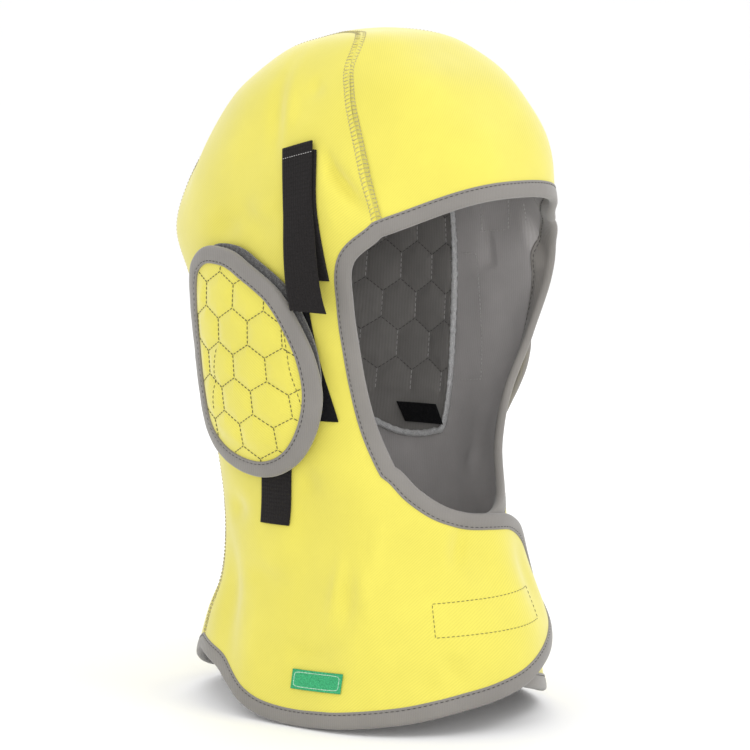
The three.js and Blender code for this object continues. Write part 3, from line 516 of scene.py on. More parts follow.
def cloth(name, color, roughness=0.9, pitch=0.9, turn=0.0, weave=0.3, vary=0.1,
          sheen=0.3, grain=0.25, source="UV"):
    """Woven cloth: a twill line across two thread directions, with soft variation."""
    mat, tree, shader = material(name, color, roughness, sheen)
    twill = bands(tree, pitch, "X", turn, source, Distortion=1.2, Detail_Scale=1.5)
    fine = noise(tree, 1400.0, 2.0, 0.6, source)
    broad = noise(tree, 28.0, 4.0, 0.55)
    tone = ramp(tree, broad, [
        (0.30, shade(color, 1 - vary)), (0.52, color), (0.72, shade(color, 1 + vary))])
    mix = node(tree, "ShaderNodeMix", {"data_type": "RGBA", "blend_type": "MULTIPLY"},
               Factor=0.5)
    tree.links.new(tone, mix.inputs["A"])
    threads = ramp(tree, twill, [(0.1, (0.86, 0.86, 0.84)), (0.7, (1, 1, 1))])
    tree.links.new(threads, mix.inputs["B"])
    finish(tree, shader, mix.outputs["Result"],
           [(broad, 0.25, 2.0), (twill, weave, 0.18), (fine, grain, 0.15)])
    return mat


def pile(name, color, tip, scale=900.0, strength=0.9, sheen=0.5):
    """Matted fleece with lighter fibre ends."""
    mat, tree, shader = material(name, color, 0.95, sheen, 0.6, 0.12)
    fibre = noise(tree, scale, 6.0, 0.75, Distortion=1.5)
    clump = node(tree, "ShaderNodeTexVoronoi", Scale=scale * 0.35)
    place_texture(tree, clump)
    tone = ramp(tree, fibre, [(0.35, shade(color, 0.6)), (0.55, color), (0.74, tip)])
    finish(tree, shader, tone,
           [(clump.outputs["Distance"], strength * 0.6, 0.8), (fibre, strength, 0.5)])
    return mat


def webbing(name, color, rib=1.1, along=0.8):
    """Woven narrow webbing with ribs across it and warp lines along it."""
    mat, tree, shader = material(name, color, 0.85, 0.03, gloss=0.12)
    ribs = bands(tree, rib, "Y", Distortion=0.6)
    warp = bands(tree, along, "X", Distortion=0.6)
    fuzz = noise(tree, 1600.0, 3.0, 0.7)
    tone = ramp(tree, fuzz, [(0.35, shade(color, 0.7)), (0.7, shade(color, 1.6))])
    finish(tree, shader, tone, [(ribs, 0.6, 0.25), (warp, 0.35, 0.25), (fuzz, 0.4, 0.15)])
    return mat


def thread(name, color):
    mat, tree, shader = material(name, color, 0.6, 0.2)
    twist = noise(tree, 2200.0, 2.0)
    tone = ramp(tree, twist, [(0.35, shade(color, 0.75)), (0.7, shade(color, 1.25))])
    finish(tree, shader, tone, [(twist, 0.5, 0.1)])
    return mat


YELLOW = cloth("high_visibility_twill", (0.71, 0.637, 0.096), roughness=0.7, pitch=0.6,
               turn=0.85, weave=0.13, vary=0.04, sheen=0.4)
LINING = cloth("grey_lining", (0.42, 0.402, 0.398), pitch=0.8, vary=0.10, sheen=0.25)
BAND = cloth("grey_binding", (0.220, 0.207, 0.193), roughness=0.8, pitch=0.45, turn=0.6,
             weave=0.18, vary=0.07, source="Object")
QUILT = cloth("dark_quilt", (0.195, 0.187, 0.178), vary=0.12)
FLEECE = pile("dark_fleece", (0.050, 0.048, 0.047), (0.34, 0.33, 0.32), 1100.0)
FUZZ = pile("fuzzy_edge", (0.60, 0.60, 0.60), (0.95, 0.95, 0.95), 1300.0)
WEBBING = webbing("black_webbing", (0.014, 0.0125, 0.0125))
HOOK = pile("black_touch_tape", (0.006, 0.006, 0.007), (0.024, 0.024, 0.024), 1500.0,
            sheen=0.02)
LABEL = webbing("green_label", (0.045, 0.330, 0.145), 0.6, 0.5)
LABEL_EDGE = webbing("pale_label_edge", (0.52, 0.68, 0.55), 0.6, 0.5)
SEAM_THREAD = thread("seam_thread", (0.42, 0.37, 0.20))
QUILT_THREAD = thread("quilt_thread", (0.105, 0.095, 0.035))
DARK_THREAD = thread("dark_grey_thread", (0.035, 0.033, 0.031))
PALE_THREAD = thread("pale_grey_thread", (0.46, 0.45, 0.44))


# Crown panel

def crown_point(q, across):
    """A point of the crown panel: q is 0 at the brow, 1 at ear level behind, 2 at the tail."""
    q, across = np.broadcast_arrays(np.asarray(q, float), np.asarray(across, float))
    q, across = q.ravel(), across.ravel()
    out = np.zeros((len(q), 3))
    head = q <= 1
    if head.any():
        turn, a = q[head] * 180, across[head]
        brow = (BROW_DROP + BROW_FALL * np.abs(a) ** BROW_POWER) * HEIGHT
        rim = crown_half(0)[0] * WIDTH
        start = cast(np.stack([a * rim, 0 * a, -brow], -1), (0, -1, 0))
        first = np.arctan2(EAR_LEVEL - brow, -start[:, 1])
        angle = first + (math.pi - first) * turn / 180
        x = a * crown_half(turn)[0] * WIDTH
        origin = np.stack([x, 0 * x, 0 * x - EAR_LEVEL], -1)
        out[head] = cast(origin, np.stack([0 * x, -np.cos(angle), np.sin(angle)], -1))
    if (~head).any():
        share, a = q[~head] - 1, across[~head]
        x = a * nape_half(share)[0] * WIDTH
        tail = (TAIL_DROP - TAIL_RISE * a * a) * HEIGHT
        drop = EAR_LEVEL + (tail - EAR_LEVEL) * share
        out[~head] = cast(np.stack([x, 0 * x, -drop], -1), (0, 1, 0))
    return out


FRONT_END = 59 / 180
BACK_START = 141 / 180
FRONT_STEPS, SIDE_COLUMNS, BACK_STEPS, NAPE_STEPS, BIB_STEPS, FACE_STEPS = 7, 9, 6, 7, 8, 6
FINE = 7
CROWN_COLUMNS = 57
BIB_LEVEL = 0.6
bib_share = 1 + (BIB_LEVEL * HEIGHT - EAR_LEVEL) / ((TAIL_DROP - TAIL_RISE) * HEIGHT - EAR_LEVEL)
stations = np.concatenate([
    np.linspace(0, FRONT_END, FRONT_STEPS + 1),
    np.linspace(FRONT_END, BACK_START, SIDE_COLUMNS + 1)[1:],
    np.linspace(BACK_START, 1, BACK_STEPS + 1)[1:],
    np.linspace(1, bib_share, NAPE_STEPS + 1)[1:],
    np.linspace(bib_share, 2, BIB_STEPS + 1)[1:],
])


def finer(values, times=FINE):
    return np.interp(np.arange((len(values) - 1) * times + 1) / times,
                     np.arange(len(values)), values)


fine_stations = finer(stations)
seam_line = crown_point(fine_stations, -1)
SEAM_DIP = 0.5


def dip(distance, width=2.2):
    return -SEAM_DIP * np.exp(-(distance / width) ** 2)


def two_layers(shell, inner, place, normal, faces, uv, sunk, nodes):
    """The shell and its lining as two closed layers."""
    obj, area = slab(shell, place, normal, faces, sunk, sunk - SHELL, YELLOW, "shell", uv,
                     nodes[:1])
    obj, area = slab(inner, place, normal, faces, LINING_TOP + sunk, LINING_BOTTOM, LINING,
                     "lining", uv, nodes[1:])


def crown():
    across = np.linspace(-1, 1, CROWN_COLUMNS)
    q = np.repeat(fine_stations, CROWN_COLUMNS)
    a = np.tile(across, len(fine_stations))
    base = crown_point(q, a)
    place, normal = dressed(base)
    half = np.abs(crown_point(fine_stations, 1)[:, 0])
    edge = np.repeat(half, CROWN_COLUMNS) * (1 - np.abs(a))
    run = distances(crown_point(fine_stations, 0))
    uv = np.stack([base[:, 0], np.repeat(run, CROWN_COLUMNS)], -1)
    faces = grid_faces(len(fine_stations), CROWN_COLUMNS)
    two_layers("crown_shell", "crown_inner", place, normal, faces, uv,
               dip(edge), ["crown_panel", "crown_lining"])


# Side panels

def spread(points, count):
    run = distances(points)
    at = np.linspace(0, run[-1], count + 1)
    return seat(np.stack([np.interp(at, run, points[:, k]) for k in range(3)], -1))


def edge_points(rows, count, start=None):
    row = curve(rows, np.linspace(0, len(rows) - 1, (len(rows) - 1) * 10 + 1))
    points = on_form(row[:, 0], row[:, 1])
    if start is not None:
        points = np.concatenate([[start], points])
    return spread(points, count)


def shares(points):
    run = distances(points)
    return run / run[-1]


def fill_patch(top, bottom, left, right):
    """A grid between four boundary rows, seated on the form and evened out."""
    rows, columns = len(left), len(top)
    f = np.linspace(0, 1, rows)[:, None]
    g = np.linspace(0, 1, columns)[None]
    u = (shares(top)[None] * (1 - f) + shares(bottom)[None] * f)[..., None]
    v = (shares(left)[:, None] * (1 - g) + shares(right)[:, None] * g)[..., None]
    grid = top[None] * (1 - v) + bottom[None] * v + left[:, None] * (1 - u) + right[:, None] * u
    grid = grid - top[0] * (1 - u) * (1 - v) - bottom[0] * (1 - u) * v
    grid = grid - top[-1] * u * (1 - v) - bottom[-1] * u * v
    grid[0], grid[-1], grid[:, 0], grid[:, -1] = top, bottom, left, right
    for _ in range(14):
        mean = (grid[:-2, 1:-1] + grid[2:, 1:-1] + grid[1:-1, :-2] + grid[1:-1, 2:]) / 4
        grid[1:-1, 1:-1] = seat(mean.reshape(-1, 3)).reshape(mean.shape)
    return grid


def refine(grid):
    tall = curve(grid, np.arange((len(grid) - 1) * FINE + 1) / FINE)
    flipped = tall.swapaxes(0, 1)
    wide = curve(flipped, np.arange((len(flipped) - 1) * FINE + 1) / FINE)
    out = wide.swapaxes(0, 1)
    return seat(out.reshape(-1, 3)).reshape(out.shape)


def side_points():
    seam = crown_point(stations, -1)
    top_end = FRONT_STEPS + SIDE_COLUMNS
    bib_start = top_end + BACK_STEPS + NAPE_STEPS
    face = edge_points(FACE_EDGE, FACE_STEPS, seam[0])
    throat = on_form(THROAT_EDGE[:, 0], THROAT_EDGE[:, 1])
    end = edge_points(FLAP_END, BIB_STEPS)
    flap_steps = len(THROAT_EDGE) - 1
    hem_back = edge_points(HEM[:len(HEM) - flap_steps], SIDE_COLUMNS, seam[-1])
    hem_front = on_form(HEM[-flap_steps - 1:, 0], HEM[-flap_steps - 1:, 1])
    bend, back = face[-1], seam[bib_start]
    f = shares(hem_back)
    a, b = math.atan2(back[0], -back[1]), math.atan2(bend[0], -bend[1])
    angle = a + (b - a) * f
    z = back[2] + (bend[2] - back[2]) * f
    across = seat(np.stack([np.sin(angle) * WIDTH, -np.cos(angle) * WIDTH, z], -1))
    across[0], across[-1] = back, bend
    upper = fill_patch(seam[FRONT_STEPS:top_end + 1][::-1], across,
                       seam[top_end:bib_start + 1],
                       np.concatenate([seam[:FRONT_STEPS + 1][::-1], face[1:]]))
    lower = fill_patch(np.concatenate([across, throat[1:]]),
                       np.concatenate([hem_back, hem_front[1:]]), seam[bib_start:], end)
    high, low = refine(upper), refine(lower)
    at = [n * FINE for n in (FRONT_STEPS, top_end, bib_start)]
    high[0] = seam_line[at[0]:at[1] + 1][::-1]
    high[:, 0] = seam_line[at[1]:at[2] + 1]
    high[:at[0] + 1, -1] = seam_line[:at[0] + 1][::-1]
    low[:, 0] = seam_line[at[2]:]
    high[-1] = low[0, :SIDE_COLUMNS * FINE + 1]
    return high, low


high_grid, low_grid = side_points()
CLOTH_RADIUS = 92.0


def side(name, sign):
    high, low = high_grid.shape[:2], low_grid.shape[:2]
    base = np.concatenate([high_grid[:-1].reshape(-1, 3), low_grid.reshape(-1, 3)])
    start = (high[0] - 1) * high[1]
    faces = grid_faces(high[0] - 1, high[1]) + grid_faces(low[0], low[1], start)
    row = start - high[1]
    faces += [(row + i, row + i + 1, start + i + 1, start + i) for i in range(high[1] - 1)]
    gap = np.min(np.linalg.norm(base[:, None] - seam_line[None, ::2], axis=2), axis=1)
    base = base * [-sign, 1, 1]
    place, normal = dressed(base, float(sign < 0))
    uv = np.stack([np.arctan2(base[:, 0], -base[:, 1]) * CLOTH_RADIUS, base[:, 2]], -1)
    two_layers(f"side_shell_{name}", f"side_inner_{name}", place, normal,
               faces, uv, dip(gap), [f"side_panel_{name}", f"side_lining_{name}"])


# Folded tape round an edge

# inward from the edge in mm, height over the cloth
TAPE_TOP = np.array([
    [8.0, 0.02], [7.8, 0.62], [7.2, 0.78], [6.6, 0.42], [5.9, 0.86], [4.4, 1.05],
    [2.6, 1.1], [1.0, 1.0], [0.0, 0.8],
])
STITCH_IN = 6.6
FOLD_REACH = 1.15
TAPE_STEP = 1.9
BROW_POINTS = 81


def tape(name, edge, inward, surface, top, bottom, node_name):
    """Sweeps a folded tape round a closed edge, and returns its row of stitches.

    surface gives the place and normal on the cloth at each point of the edge.
    """
    rings = []
    count = len(edge)
    wave = np.sin(np.arange(count) * 0.37) * np.sin(np.arange(count) * 0.11 + 1)
    levels = {}
    for inset, height in TAPE_TOP:
        levels[inset] = surface(edge + inward * inset)
        place, normal = levels[inset]
        extra = height + 0.08 * wave * (height > 0.5)
        rings.append(place + normal * (top + extra)[:, None])
    place, normal = levels[0.0]
    inner, _ = levels[1.0]
    away = unit(place - inner)
    middle = (top + bottom) / 2
    half = (top - bottom) / 2
    for turn in (50, 90, 130):
        out, up = math.sin(math.radians(turn)), math.cos(math.radians(turn))
        rings.append(place + away * (FOLD_REACH * out) + normal * (middle + (half + 0.6) * up))
    for inset, height in TAPE_TOP[::-1]:
        place, normal = levels[inset]
        rings.append(place + normal * (bottom - height))
    verts = np.stack(rings, 1).reshape(-1, 3)
    add_mesh(name, verts, ring_faces(count, len(rings)), BAND, "binding", None, [node_name])
    return surface(edge + inward * STITCH_IN)


def flowing(values, reach):
    """Moving average round a closed loop."""
    kernel = np.hanning(2 * reach + 3)[1:-1]
    kernel = kernel / kernel.sum()
    padded = np.concatenate([values[-reach:], values, values[:reach]])
    return np.stack([np.convolve(padded[:, k], kernel, "valid") for k in range(3)], -1)


def loop(points, normals):
    return (np.concatenate([points, points[:1]]), np.concatenate([normals, normals[:1]]))


def hood_binding():
    across = np.linspace(1, -1, BROW_POINTS)
    brow = crown_point(np.zeros(BROW_POINTS), across)
    tail = crown_point(np.full(BROW_POINTS, 2.0), -across)
    free = np.concatenate([
        high_grid[FRONT_STEPS * FINE + 1:-1, -1], low_grid[0, SIDE_COLUMNS * FINE:],
        low_grid[1:, -1], low_grid[-1, 1:-1][::-1]])
    mirrored = free[::-1] * [-1, 1, 1]
    points = np.concatenate([brow, free, tail, mirrored])
    flag = np.concatenate([0 * across, np.ones(len(free)), 0 * across, np.zeros(len(free))])
    edge, lapped = resample(points, TAPE_STEP, True, flag)
    edge, lapped = seat(edge), np.round(lapped)
    tangent = unit(np.roll(edge, -1, 0) - np.roll(edge, 1, 0))
    inward = unit(flowing(unit(np.cross(tangent, normal_at(edge))), 4))

    def surface(p):
        return dressed(seat(p), lapped)

    place, normal = tape("edge_tape", edge, inward, surface, 0.0, LINING_BOTTOM,
                         "edge_binding")
    threads = Stitches()
    threads.line(*loop(place + normal * 0.5, normal))
    threads.line(*loop(place + normal * (LINING_BOTTOM - 0.5), -normal))
    threads.build("edge_tape_stitches", DARK_THREAD, "binding")


# Ladder of thread over the panel seams

SEAM_HALF = 2.7
LADDER_STEP = 3


def seams():
    threads = Stitches()
    for sign in (-1, 1):
        line = seat(resample(seam_line * [-sign, 1, 1], 0.8))
        tangent = unit(np.gradient(line, axis=0))
        sideways = unit(np.cross(tangent, normal_at(line)))
        rows = [dressed(seat(line + sideways * d)) for d in (-SEAM_HALF, SEAM_HALF)]
        for place, normal in rows:
            threads.line(place, normal, 2.1, 0.8, 0.24, 0.3)
        (a, n), (b, _) = rows
        middle = (a + b) / 2 - n * 0.35
        count = len(a) - 1
        pick = np.arange(0, count - 1, LADDER_STEP)
        ahead = np.minimum(pick + 1, count)
        threads.add(a[pick], middle[ahead], n[pick], 0.2, 0.35)
        threads.add(middle[ahead], b[pick], n[pick], 0.2, 0.35)
    threads.build("seam_ladder", SEAM_THREAD, "binding")


# Pieces laid on the sides of the head

def side_surface(back, drop, sign, extra=0.0):
    origin = np.stack([0 * back, back, -drop], -1)
    base = cast(origin, (-1, 0, 0)) * [-sign, 1, 1]
    normal = normal_at(base)
    lift = fold_height(base) + (lap_height(base) if sign < 0 else 0) + extra
    return base + normal * lift[:, None], normal


class Pad:
    """A rounded outline on the side of the head, filled by rings round its middle."""

    def __init__(self, outline, width, height, back, drop, sign, dome=0.0):
        self.size = np.array([width, height])
        self.middle = np.array([back, drop])
        self.sign = sign
        self.dome = dome
        closed = np.concatenate([outline, outline[:1]])
        row = curve(closed, np.linspace(0, len(outline), 361)[:-1], outline[-1])
        self.rim = resample(row * self.size, 1.0, True)
        self.turns = np.unwrap(np.arctan2(self.rim[:, 1], self.rim[:, 0]))
        self.reach = np.linalg.norm(self.rim, axis=1)

    def share(self, p):
        """How far out a point lies, 1 on the rim."""
        turn = np.arctan2(p[:, 1], p[:, 0])
        order = np.argsort(self.turns % (2 * math.pi))
        rim = np.interp(turn % (2 * math.pi), (self.turns % (2 * math.pi))[order],
                        self.reach[order], period=2 * math.pi)
        return np.linalg.norm(p, axis=1) / rim

    def surface(self, p):
        f = np.clip(self.share(p), 0, 1)
        extra = self.dome * (1 - f ** 2)
        return side_surface(self.middle[0] + p[:, 0], self.middle[1] - p[:, 1], self.sign, extra)

    def grid(self, rings):
        f = np.linspace(0, 1, rings + 1)
        points = (self.rim[None] * f[:, None, None]).reshape(-1, 2)
        return points, grid_faces(rings + 1, len(self.rim), 0, True)


def hexagons(p, across, shift, tall=1.0):
    """Distance from the nearest seam of a honeycomb with upright sides."""
    q = (p - shift) / [across, across * tall]
    rows = np.array([1.0, math.sqrt(3)])
    a = (q + 0.5 * rows) % rows - 0.5 * rows
    b = q % rows - 0.5 * rows
    c = np.where((a ** 2).sum(1, keepdims=True) < (b ** 2).sum(1, keepdims=True), a, b)
    c = np.abs(c)
    return (0.5 - np.maximum(c[:, 0], 0.5 * c[:, 0] + math.sqrt(3) / 2 * c[:, 1])) * across


def puff(seam, height, reach):
    """Height of the padding at a distance from the nearest seam."""
    return height * (1 - np.exp(-(np.clip(seam, 0, None) / reach) ** PUFF_POWER))


def honeycomb_lines(pad, across, shift, limit, tall=1.0):
    """The seams of the honeycomb inside a pad, as pairs of ends."""
    side_length = across / math.sqrt(3)
    stretch = np.array([1.0, tall])
    pairs = []
    reach = int(max(pad.size) / across) + 2
    for j in range(-reach, reach + 1):
        for i in range(-reach, reach + 1):
            centre = np.array([(i + 0.5 * (j % 2)) * across, j * 1.5 * side_length])
            corners = [(centre + side_length * np.array([math.sin(math.radians(t)),
                                                         math.cos(math.radians(t))])) * stretch
                       + shift for t in (-60, 0, 60, 120)]
            pairs += [(corners[k], corners[k + 1]) for k in range(3)]
    lines = []
    for a, b in pairs:
        steps = 5
        cut = a + (b - a) * np.linspace(0, 1, steps + 1)[:, None]
        for k in range(steps):
            piece = cut[k:k + 2]
            if pad.share(piece).max() < limit:
                lines.append((piece[0], piece[0] + (piece[1] - piece[0]) * 0.8))
    return np.array(lines)


PUFF_POWER = 1.3
EAR = {"width": 89.0, "height": 120.0, "back": 6.0, "drop": 177.5}
EAR_CLOTH, EAR_PUFF, EAR_PUFF_REACH = 2.0, 1.9, 3.6
FLEECE_CUT, FLEECE_FORWARD, FLEECE_UP = 0.94, 3.0, 6.0
EAR_CELL = 21.5
EAR_SHIFT = np.array([-7.5, 35.9])
FLAP_LEVEL = 6.15
FLEECE_LEVEL = 2.35
# Straight rows of stitches across a flap, in mm about its middle: back, up
EAR_ROWS = (np.array([[-29.5, 28], [-34.5, -21], [-39.5, -21.5]]),
            np.array([[15.5, 7], [22.5, -27]]))


def ear(name, sign):
    pad = Pad(EAR_OUTLINE, **EAR, sign=sign, dome=4.0)
    points, faces = pad.grid(64)
    place, normal = pad.surface(points)

    def quilted(p):
        padding = puff(hexagons(p, EAR_CELL, EAR_SHIFT), EAR_PUFF, EAR_PUFF_REACH)
        return FLAP_LEVEL + EAR_CLOTH + padding * smooth(0.84, 0.66, pad.share(p))

    flap, _ = slab(f"ear_pad_{name}", place, normal, faces, quilted(points), FLAP_LEVEL, YELLOW,
                   "shell", points, [f"ear_flap_{name}"])
    threads = Stitches()
    lines = honeycomb_lines(pad, EAR_CELL, EAR_SHIFT, 0.90)
    ends = [pad.surface(lines[:, k]) for k in (0, 1)]
    starts, stops = (place + n * (FLAP_LEVEL + 2.2) for place, n in ends)
    threads.add(starts, stops, ends[0][1], 0.27, 0.3)
    for row in EAR_ROWS:
        line = resample(row, 1.0)
        place, normal = pad.surface(line)
        threads.line(place + normal * (quilted(line) + 0.1)[:, None], normal)
    threads.build(f"ear_quilting_{name}", QUILT_THREAD, "binding")

    rim = pad.rim
    tangent = unit(np.roll(rim, -1, 0) - np.roll(rim, 1, 0))
    inward = np.stack([-tangent[:, 1], tangent[:, 0]], -1)
    if np.mean(np.einsum("ij,ij->i", inward, -rim)) < 0:
        inward = -inward
    top = FLAP_LEVEL + 2.6
    place, normal = tape(f"ear_tape_{name}", rim, inward, pad.surface, top, FLAP_LEVEL,
                         f"ear_flap_binding_{name}")
    threads = Stitches()
    threads.line(*loop(place + normal * (top + 0.5), normal))
    threads.build(f"ear_tape_stitches_{name}", DARK_THREAD, "binding")

    under = Pad(EAR_OUTLINE, EAR["width"] * FLEECE_CUT, EAR["height"] * FLEECE_CUT,
                EAR["back"] - FLEECE_FORWARD, EAR["drop"] - FLEECE_UP, sign, dome=1.5)
    points, faces = under.grid(50)
    place, normal = under.surface(points)
    pad_top = FLEECE_LEVEL + 1.7 + 0.25 * np.sin(points[:, 0] * 2.1) * np.sin(points[:, 1] * 1.7)
    fleece, area = slab(f"ear_lining_{name}", place, normal, faces, pad_top, FLEECE_LEVEL,
                        FLEECE, "fleece", points, [f"ear_fleece_{name}"])


def fibres(name, roots, normals, outward, mat, slot):
    """Short loose fibres standing out of an edge."""
    count = FIBRE_COUNT
    rng = np.random.default_rng(FIBRE_SEED)
    pick = rng.integers(0, len(roots), count)
    start = roots[pick] + rng.normal(0, 0.35, (count, 3))
    aim = unit(outward[pick] + 0.9 * rng.normal(0, 1, (count, 3)) + 0.4 * normals[pick])
    reach = FIBRE_LENGTH * rng.uniform(0.4, 1.0, count)[:, None]
    side = unit(np.cross(aim, normals[pick] + 1e-3)) * 0.07
    lift = unit(np.cross(aim, side)) * 0.07
    sway = rng.normal(0, 0.25, (count, 3))
    rings = [start + side, start - side / 2 + lift, start - side / 2 - lift]
    mid = start + aim * reach * 0.55 + sway
    rings += [mid + side * 0.8, mid - side * 0.4 + lift * 0.8, mid - side * 0.4 - lift * 0.8]
    rings.append(start + aim * reach + sway * 1.6)
    verts = np.stack(rings, 1)
    each = [(0, 1, 4, 3), (1, 2, 5, 4), (2, 0, 3, 5), (3, 4, 6), (4, 5, 6), (5, 3, 6),
            (2, 1, 0)]
    faces = [tuple(k + n * 7 for k in face) for n in range(count) for face in each]
    return add_mesh(name, verts.reshape(-1, 3), faces, mat, slot)


POCKET = {"width": 68.0, "height": 152.0, "back": 38.0, "drop": 158.0}
POCKET_TOP = LINING_BOTTOM - 0.5
POCKET_CLOTH, POCKET_PUFF, POCKET_PUFF_REACH = 1.9, 1.6, 3.4
POCKET_THREAD = 2.05
# Lowest place of the quilting, up from the pad's middle
QUILT_LOW = -54.0
POCKET_CELL = 21.0
POCKET_TALL = 1.23
POCKET_SHIFT = np.array([14.5, 19.3])
EDGE_RADIUS, EDGE_SIDES = 1.8, 12
FIBRE_LENGTH, FIBRE_COUNT, FIBRE_SEED = 2.6, 5200, 3


def pocket(name, sign):
    pad = Pad(POCKET_OUTLINE, **POCKET, sign=sign)
    points, faces = pad.grid(56)
    place, normal = pad.surface(points)
    seam = hexagons(points, POCKET_CELL, POCKET_SHIFT, POCKET_TALL)
    padding = puff(seam, POCKET_PUFF, POCKET_PUFF_REACH) * smooth(1.0, 0.9, pad.share(points))
    quilted = smooth(QUILT_LOW - 2, QUILT_LOW + 4, points[:, 1])
    bottom = POCKET_TOP - POCKET_CLOTH - padding * quilted
    panel, _ = slab(f"pocket_panel_{name}", place, normal, faces, POCKET_TOP, bottom, QUILT,
                    "fleece", points, [f"ear_pocket_{name}"])
    lines = honeycomb_lines(pad, POCKET_CELL, POCKET_SHIFT, 0.95, POCKET_TALL)
    lines = lines[lines[:, :, 1].min(1) > QUILT_LOW]
    upright = np.abs(lines[:, 0, 0] - lines[:, 1, 0]) < 0.01
    for rows, kind, mat in ((lines[upright], "upright", PALE_THREAD),
                            (lines[~upright], "slanted", DARK_THREAD)):
        ends = [pad.surface(rows[:, k]) for k in (0, 1)]
        starts, stops = (p - n * (POCKET_THREAD - POCKET_TOP) for p, n in ends)
        threads = Stitches()
        threads.add(starts, stops, -ends[0][1], 0.22, 0.3)
        threads.build(f"pocket_{kind}_stitches_{name}", mat, "binding")
    place, normal = pad.surface(pad.rim)
    inner, _ = pad.surface(pad.rim * 0.97)
    outward = unit(place - inner)
    roots = place + normal * (POCKET_TOP - EDGE_RADIUS)
    turns = np.linspace(0, 2 * math.pi, EDGE_SIDES, endpoint=False)[:, None]
    at = np.arange(len(roots))
    uneven = 1 + 0.14 * np.sin(at * 1.3) * np.sin(at * 0.31)
    ring = [roots + (outward * np.cos(t) + normal * np.sin(t)) * EDGE_RADIUS * uneven[:, None]
            for t in turns]
    verts = np.stack(ring, 1).reshape(-1, 3)
    add_mesh(f"pocket_edge_{name}", verts, ring_faces(len(roots), EDGE_SIDES), FUZZ, "fleece")
    fibres(f"pocket_fuzz_{name}", roots, -normal, outward, FUZZ, "fleece")


def strip(back, slant, drop, length, width, sign, rise, rows, columns=16, skew=0.0):
    """Places, normals, faces and cloth coordinates of a strip down the side of the head.

    rise is its height off the cloth, a number or a function of the share of its length.
    skew is how much lower the rear corner of its upper end lies than the front one.
    """
    f = np.repeat(np.linspace(0, 1, rows + 1), columns + 1)
    g = np.tile(np.linspace(-0.5, 0.5, columns + 1), rows + 1)
    down = drop + length * f + skew * g * (1 - f)
    place, normal = side_surface(back + slant * f + width * g, down, sign)
    place = place + normal * (rise(f)[:, None] if callable(rise) else rise)
    uv = np.stack([g * width, f * length], -1)
    return place, normal, grid_faces(rows + 1, columns + 1), uv, f, g


STRAP_WIDTH = 20.0
STRAP_CLOTH = 1.2
STRAP_GAP = 0.45
TACK_AT = 0.06
FRONT_STRAP = {"back": -21, "slant": -19.5, "drop": 61, "length": 85, "skew": 5.0}
REAR_STRAP = {"back": -23.5, "slant": -15, "drop": 63, "length": 68}
HOOK_STRAP = {"back": -25, "slant": -7, "drop": 147, "length": 60}
CHIN_STRAP = {"back": -8, "slant": 9, "drop": 208, "length": 59}
PATCH = {"back": 25, "slant": -7, "drop": 217, "length": 11, "width": 27}
TAG = {"back": -36, "slant": 0, "drop": 342.75, "length": 10.5, "width": 31}


def straps(name, sign):
    def hanging(f):
        return 2.1 + (8 if sign < 0 else 3) * smooth(0.4, 1.0, f)

    def made(piece, node_name, mat, slot, held, **where):
        place, normal, faces, uv, f, g = strip(width=STRAP_WIDTH, sign=sign, rows=60, **where)
        edge = 0.12 * smooth(0.42, 0.5, np.abs(g))
        obj, area = slab(f"{piece}_{name}", place, normal, faces, STRAP_CLOTH - edge, edge, mat,
                         slot, uv, [f"{node_name}_{name}"])
        return place, normal, f

    place, normal, f = made("front_strap", "upper_strap_front", WEBBING, "webbing", "hung",
                            rise=hanging, **FRONT_STRAP)
    row = np.abs(f - TACK_AT) < 0.008
    threads = Stitches()
    threads.line((place + normal * 1.25)[row], normal[row], 1.6, 0.7, 0.2, 0.25)
    threads.build(f"strap_stitches_{name}", PALE_THREAD, "webbing")
    made("rear_strap", "upper_strap_back", WEBBING, "webbing", "hung", rise=STRAP_GAP,
         **REAR_STRAP)
    made("hook_strap", "ear_hook_tape", HOOK, "touch_tape", "laid", rise=STRAP_GAP,
         **HOOK_STRAP)
    made("chin_strap", "lower_strap", WEBBING, "webbing", "hung", rise=STRAP_GAP,
         **CHIN_STRAP)


def patch(name, sign):
    place, normal, faces, uv, _, _ = strip(**PATCH, sign=sign, rise=0.0, rows=12)
    top = POCKET_TOP - 3.4
    obj, area = slab(f"touch_patch_{name}", place, normal, faces, top, top - 1.0, HOOK,
                     "touch_tape", uv, [f"pocket_patch_{name}"])


def label():
    place, normal, faces, uv, _, _ = strip(**TAG, sign=-1, rise=0.35, rows=16, columns=36)
    obj, area = slab("green_label", place, normal, faces, 0.6, 0.0, LABEL, "label", uv,
                     ["woven_label"])
    turn = np.linspace(0, 2 * math.pi, 160, endpoint=False)
    x, y = (np.sign(v) * np.abs(v) ** 0.25 for v in (np.cos(turn), np.sin(turn)))
    middle = TAG["drop"] + TAG["length"] / 2
    line, n = side_surface(TAG["back"] + 13.9 * x, middle - 3.9 * y, -1, 1.0)
    threads = Stitches()
    threads.line(*loop(line, n), 0.7, 1.0, 0.22, 0.12)
    threads.build("label_border", LABEL_EDGE, "label")


# Rows of stitches that show on the lining: back, drop
LINING_ROWS = (
    np.array([[8, 129], [-10, 129], [-19, 200], [-2, 202]]),
    np.array([[-13, 116], [-33, 114]]),
    np.array([[-15, 98], [-14, 116]]),
    np.array([[-36, 97], [-35, 114]]),
    np.array([[-50, 98], [-49, 110]]),
)


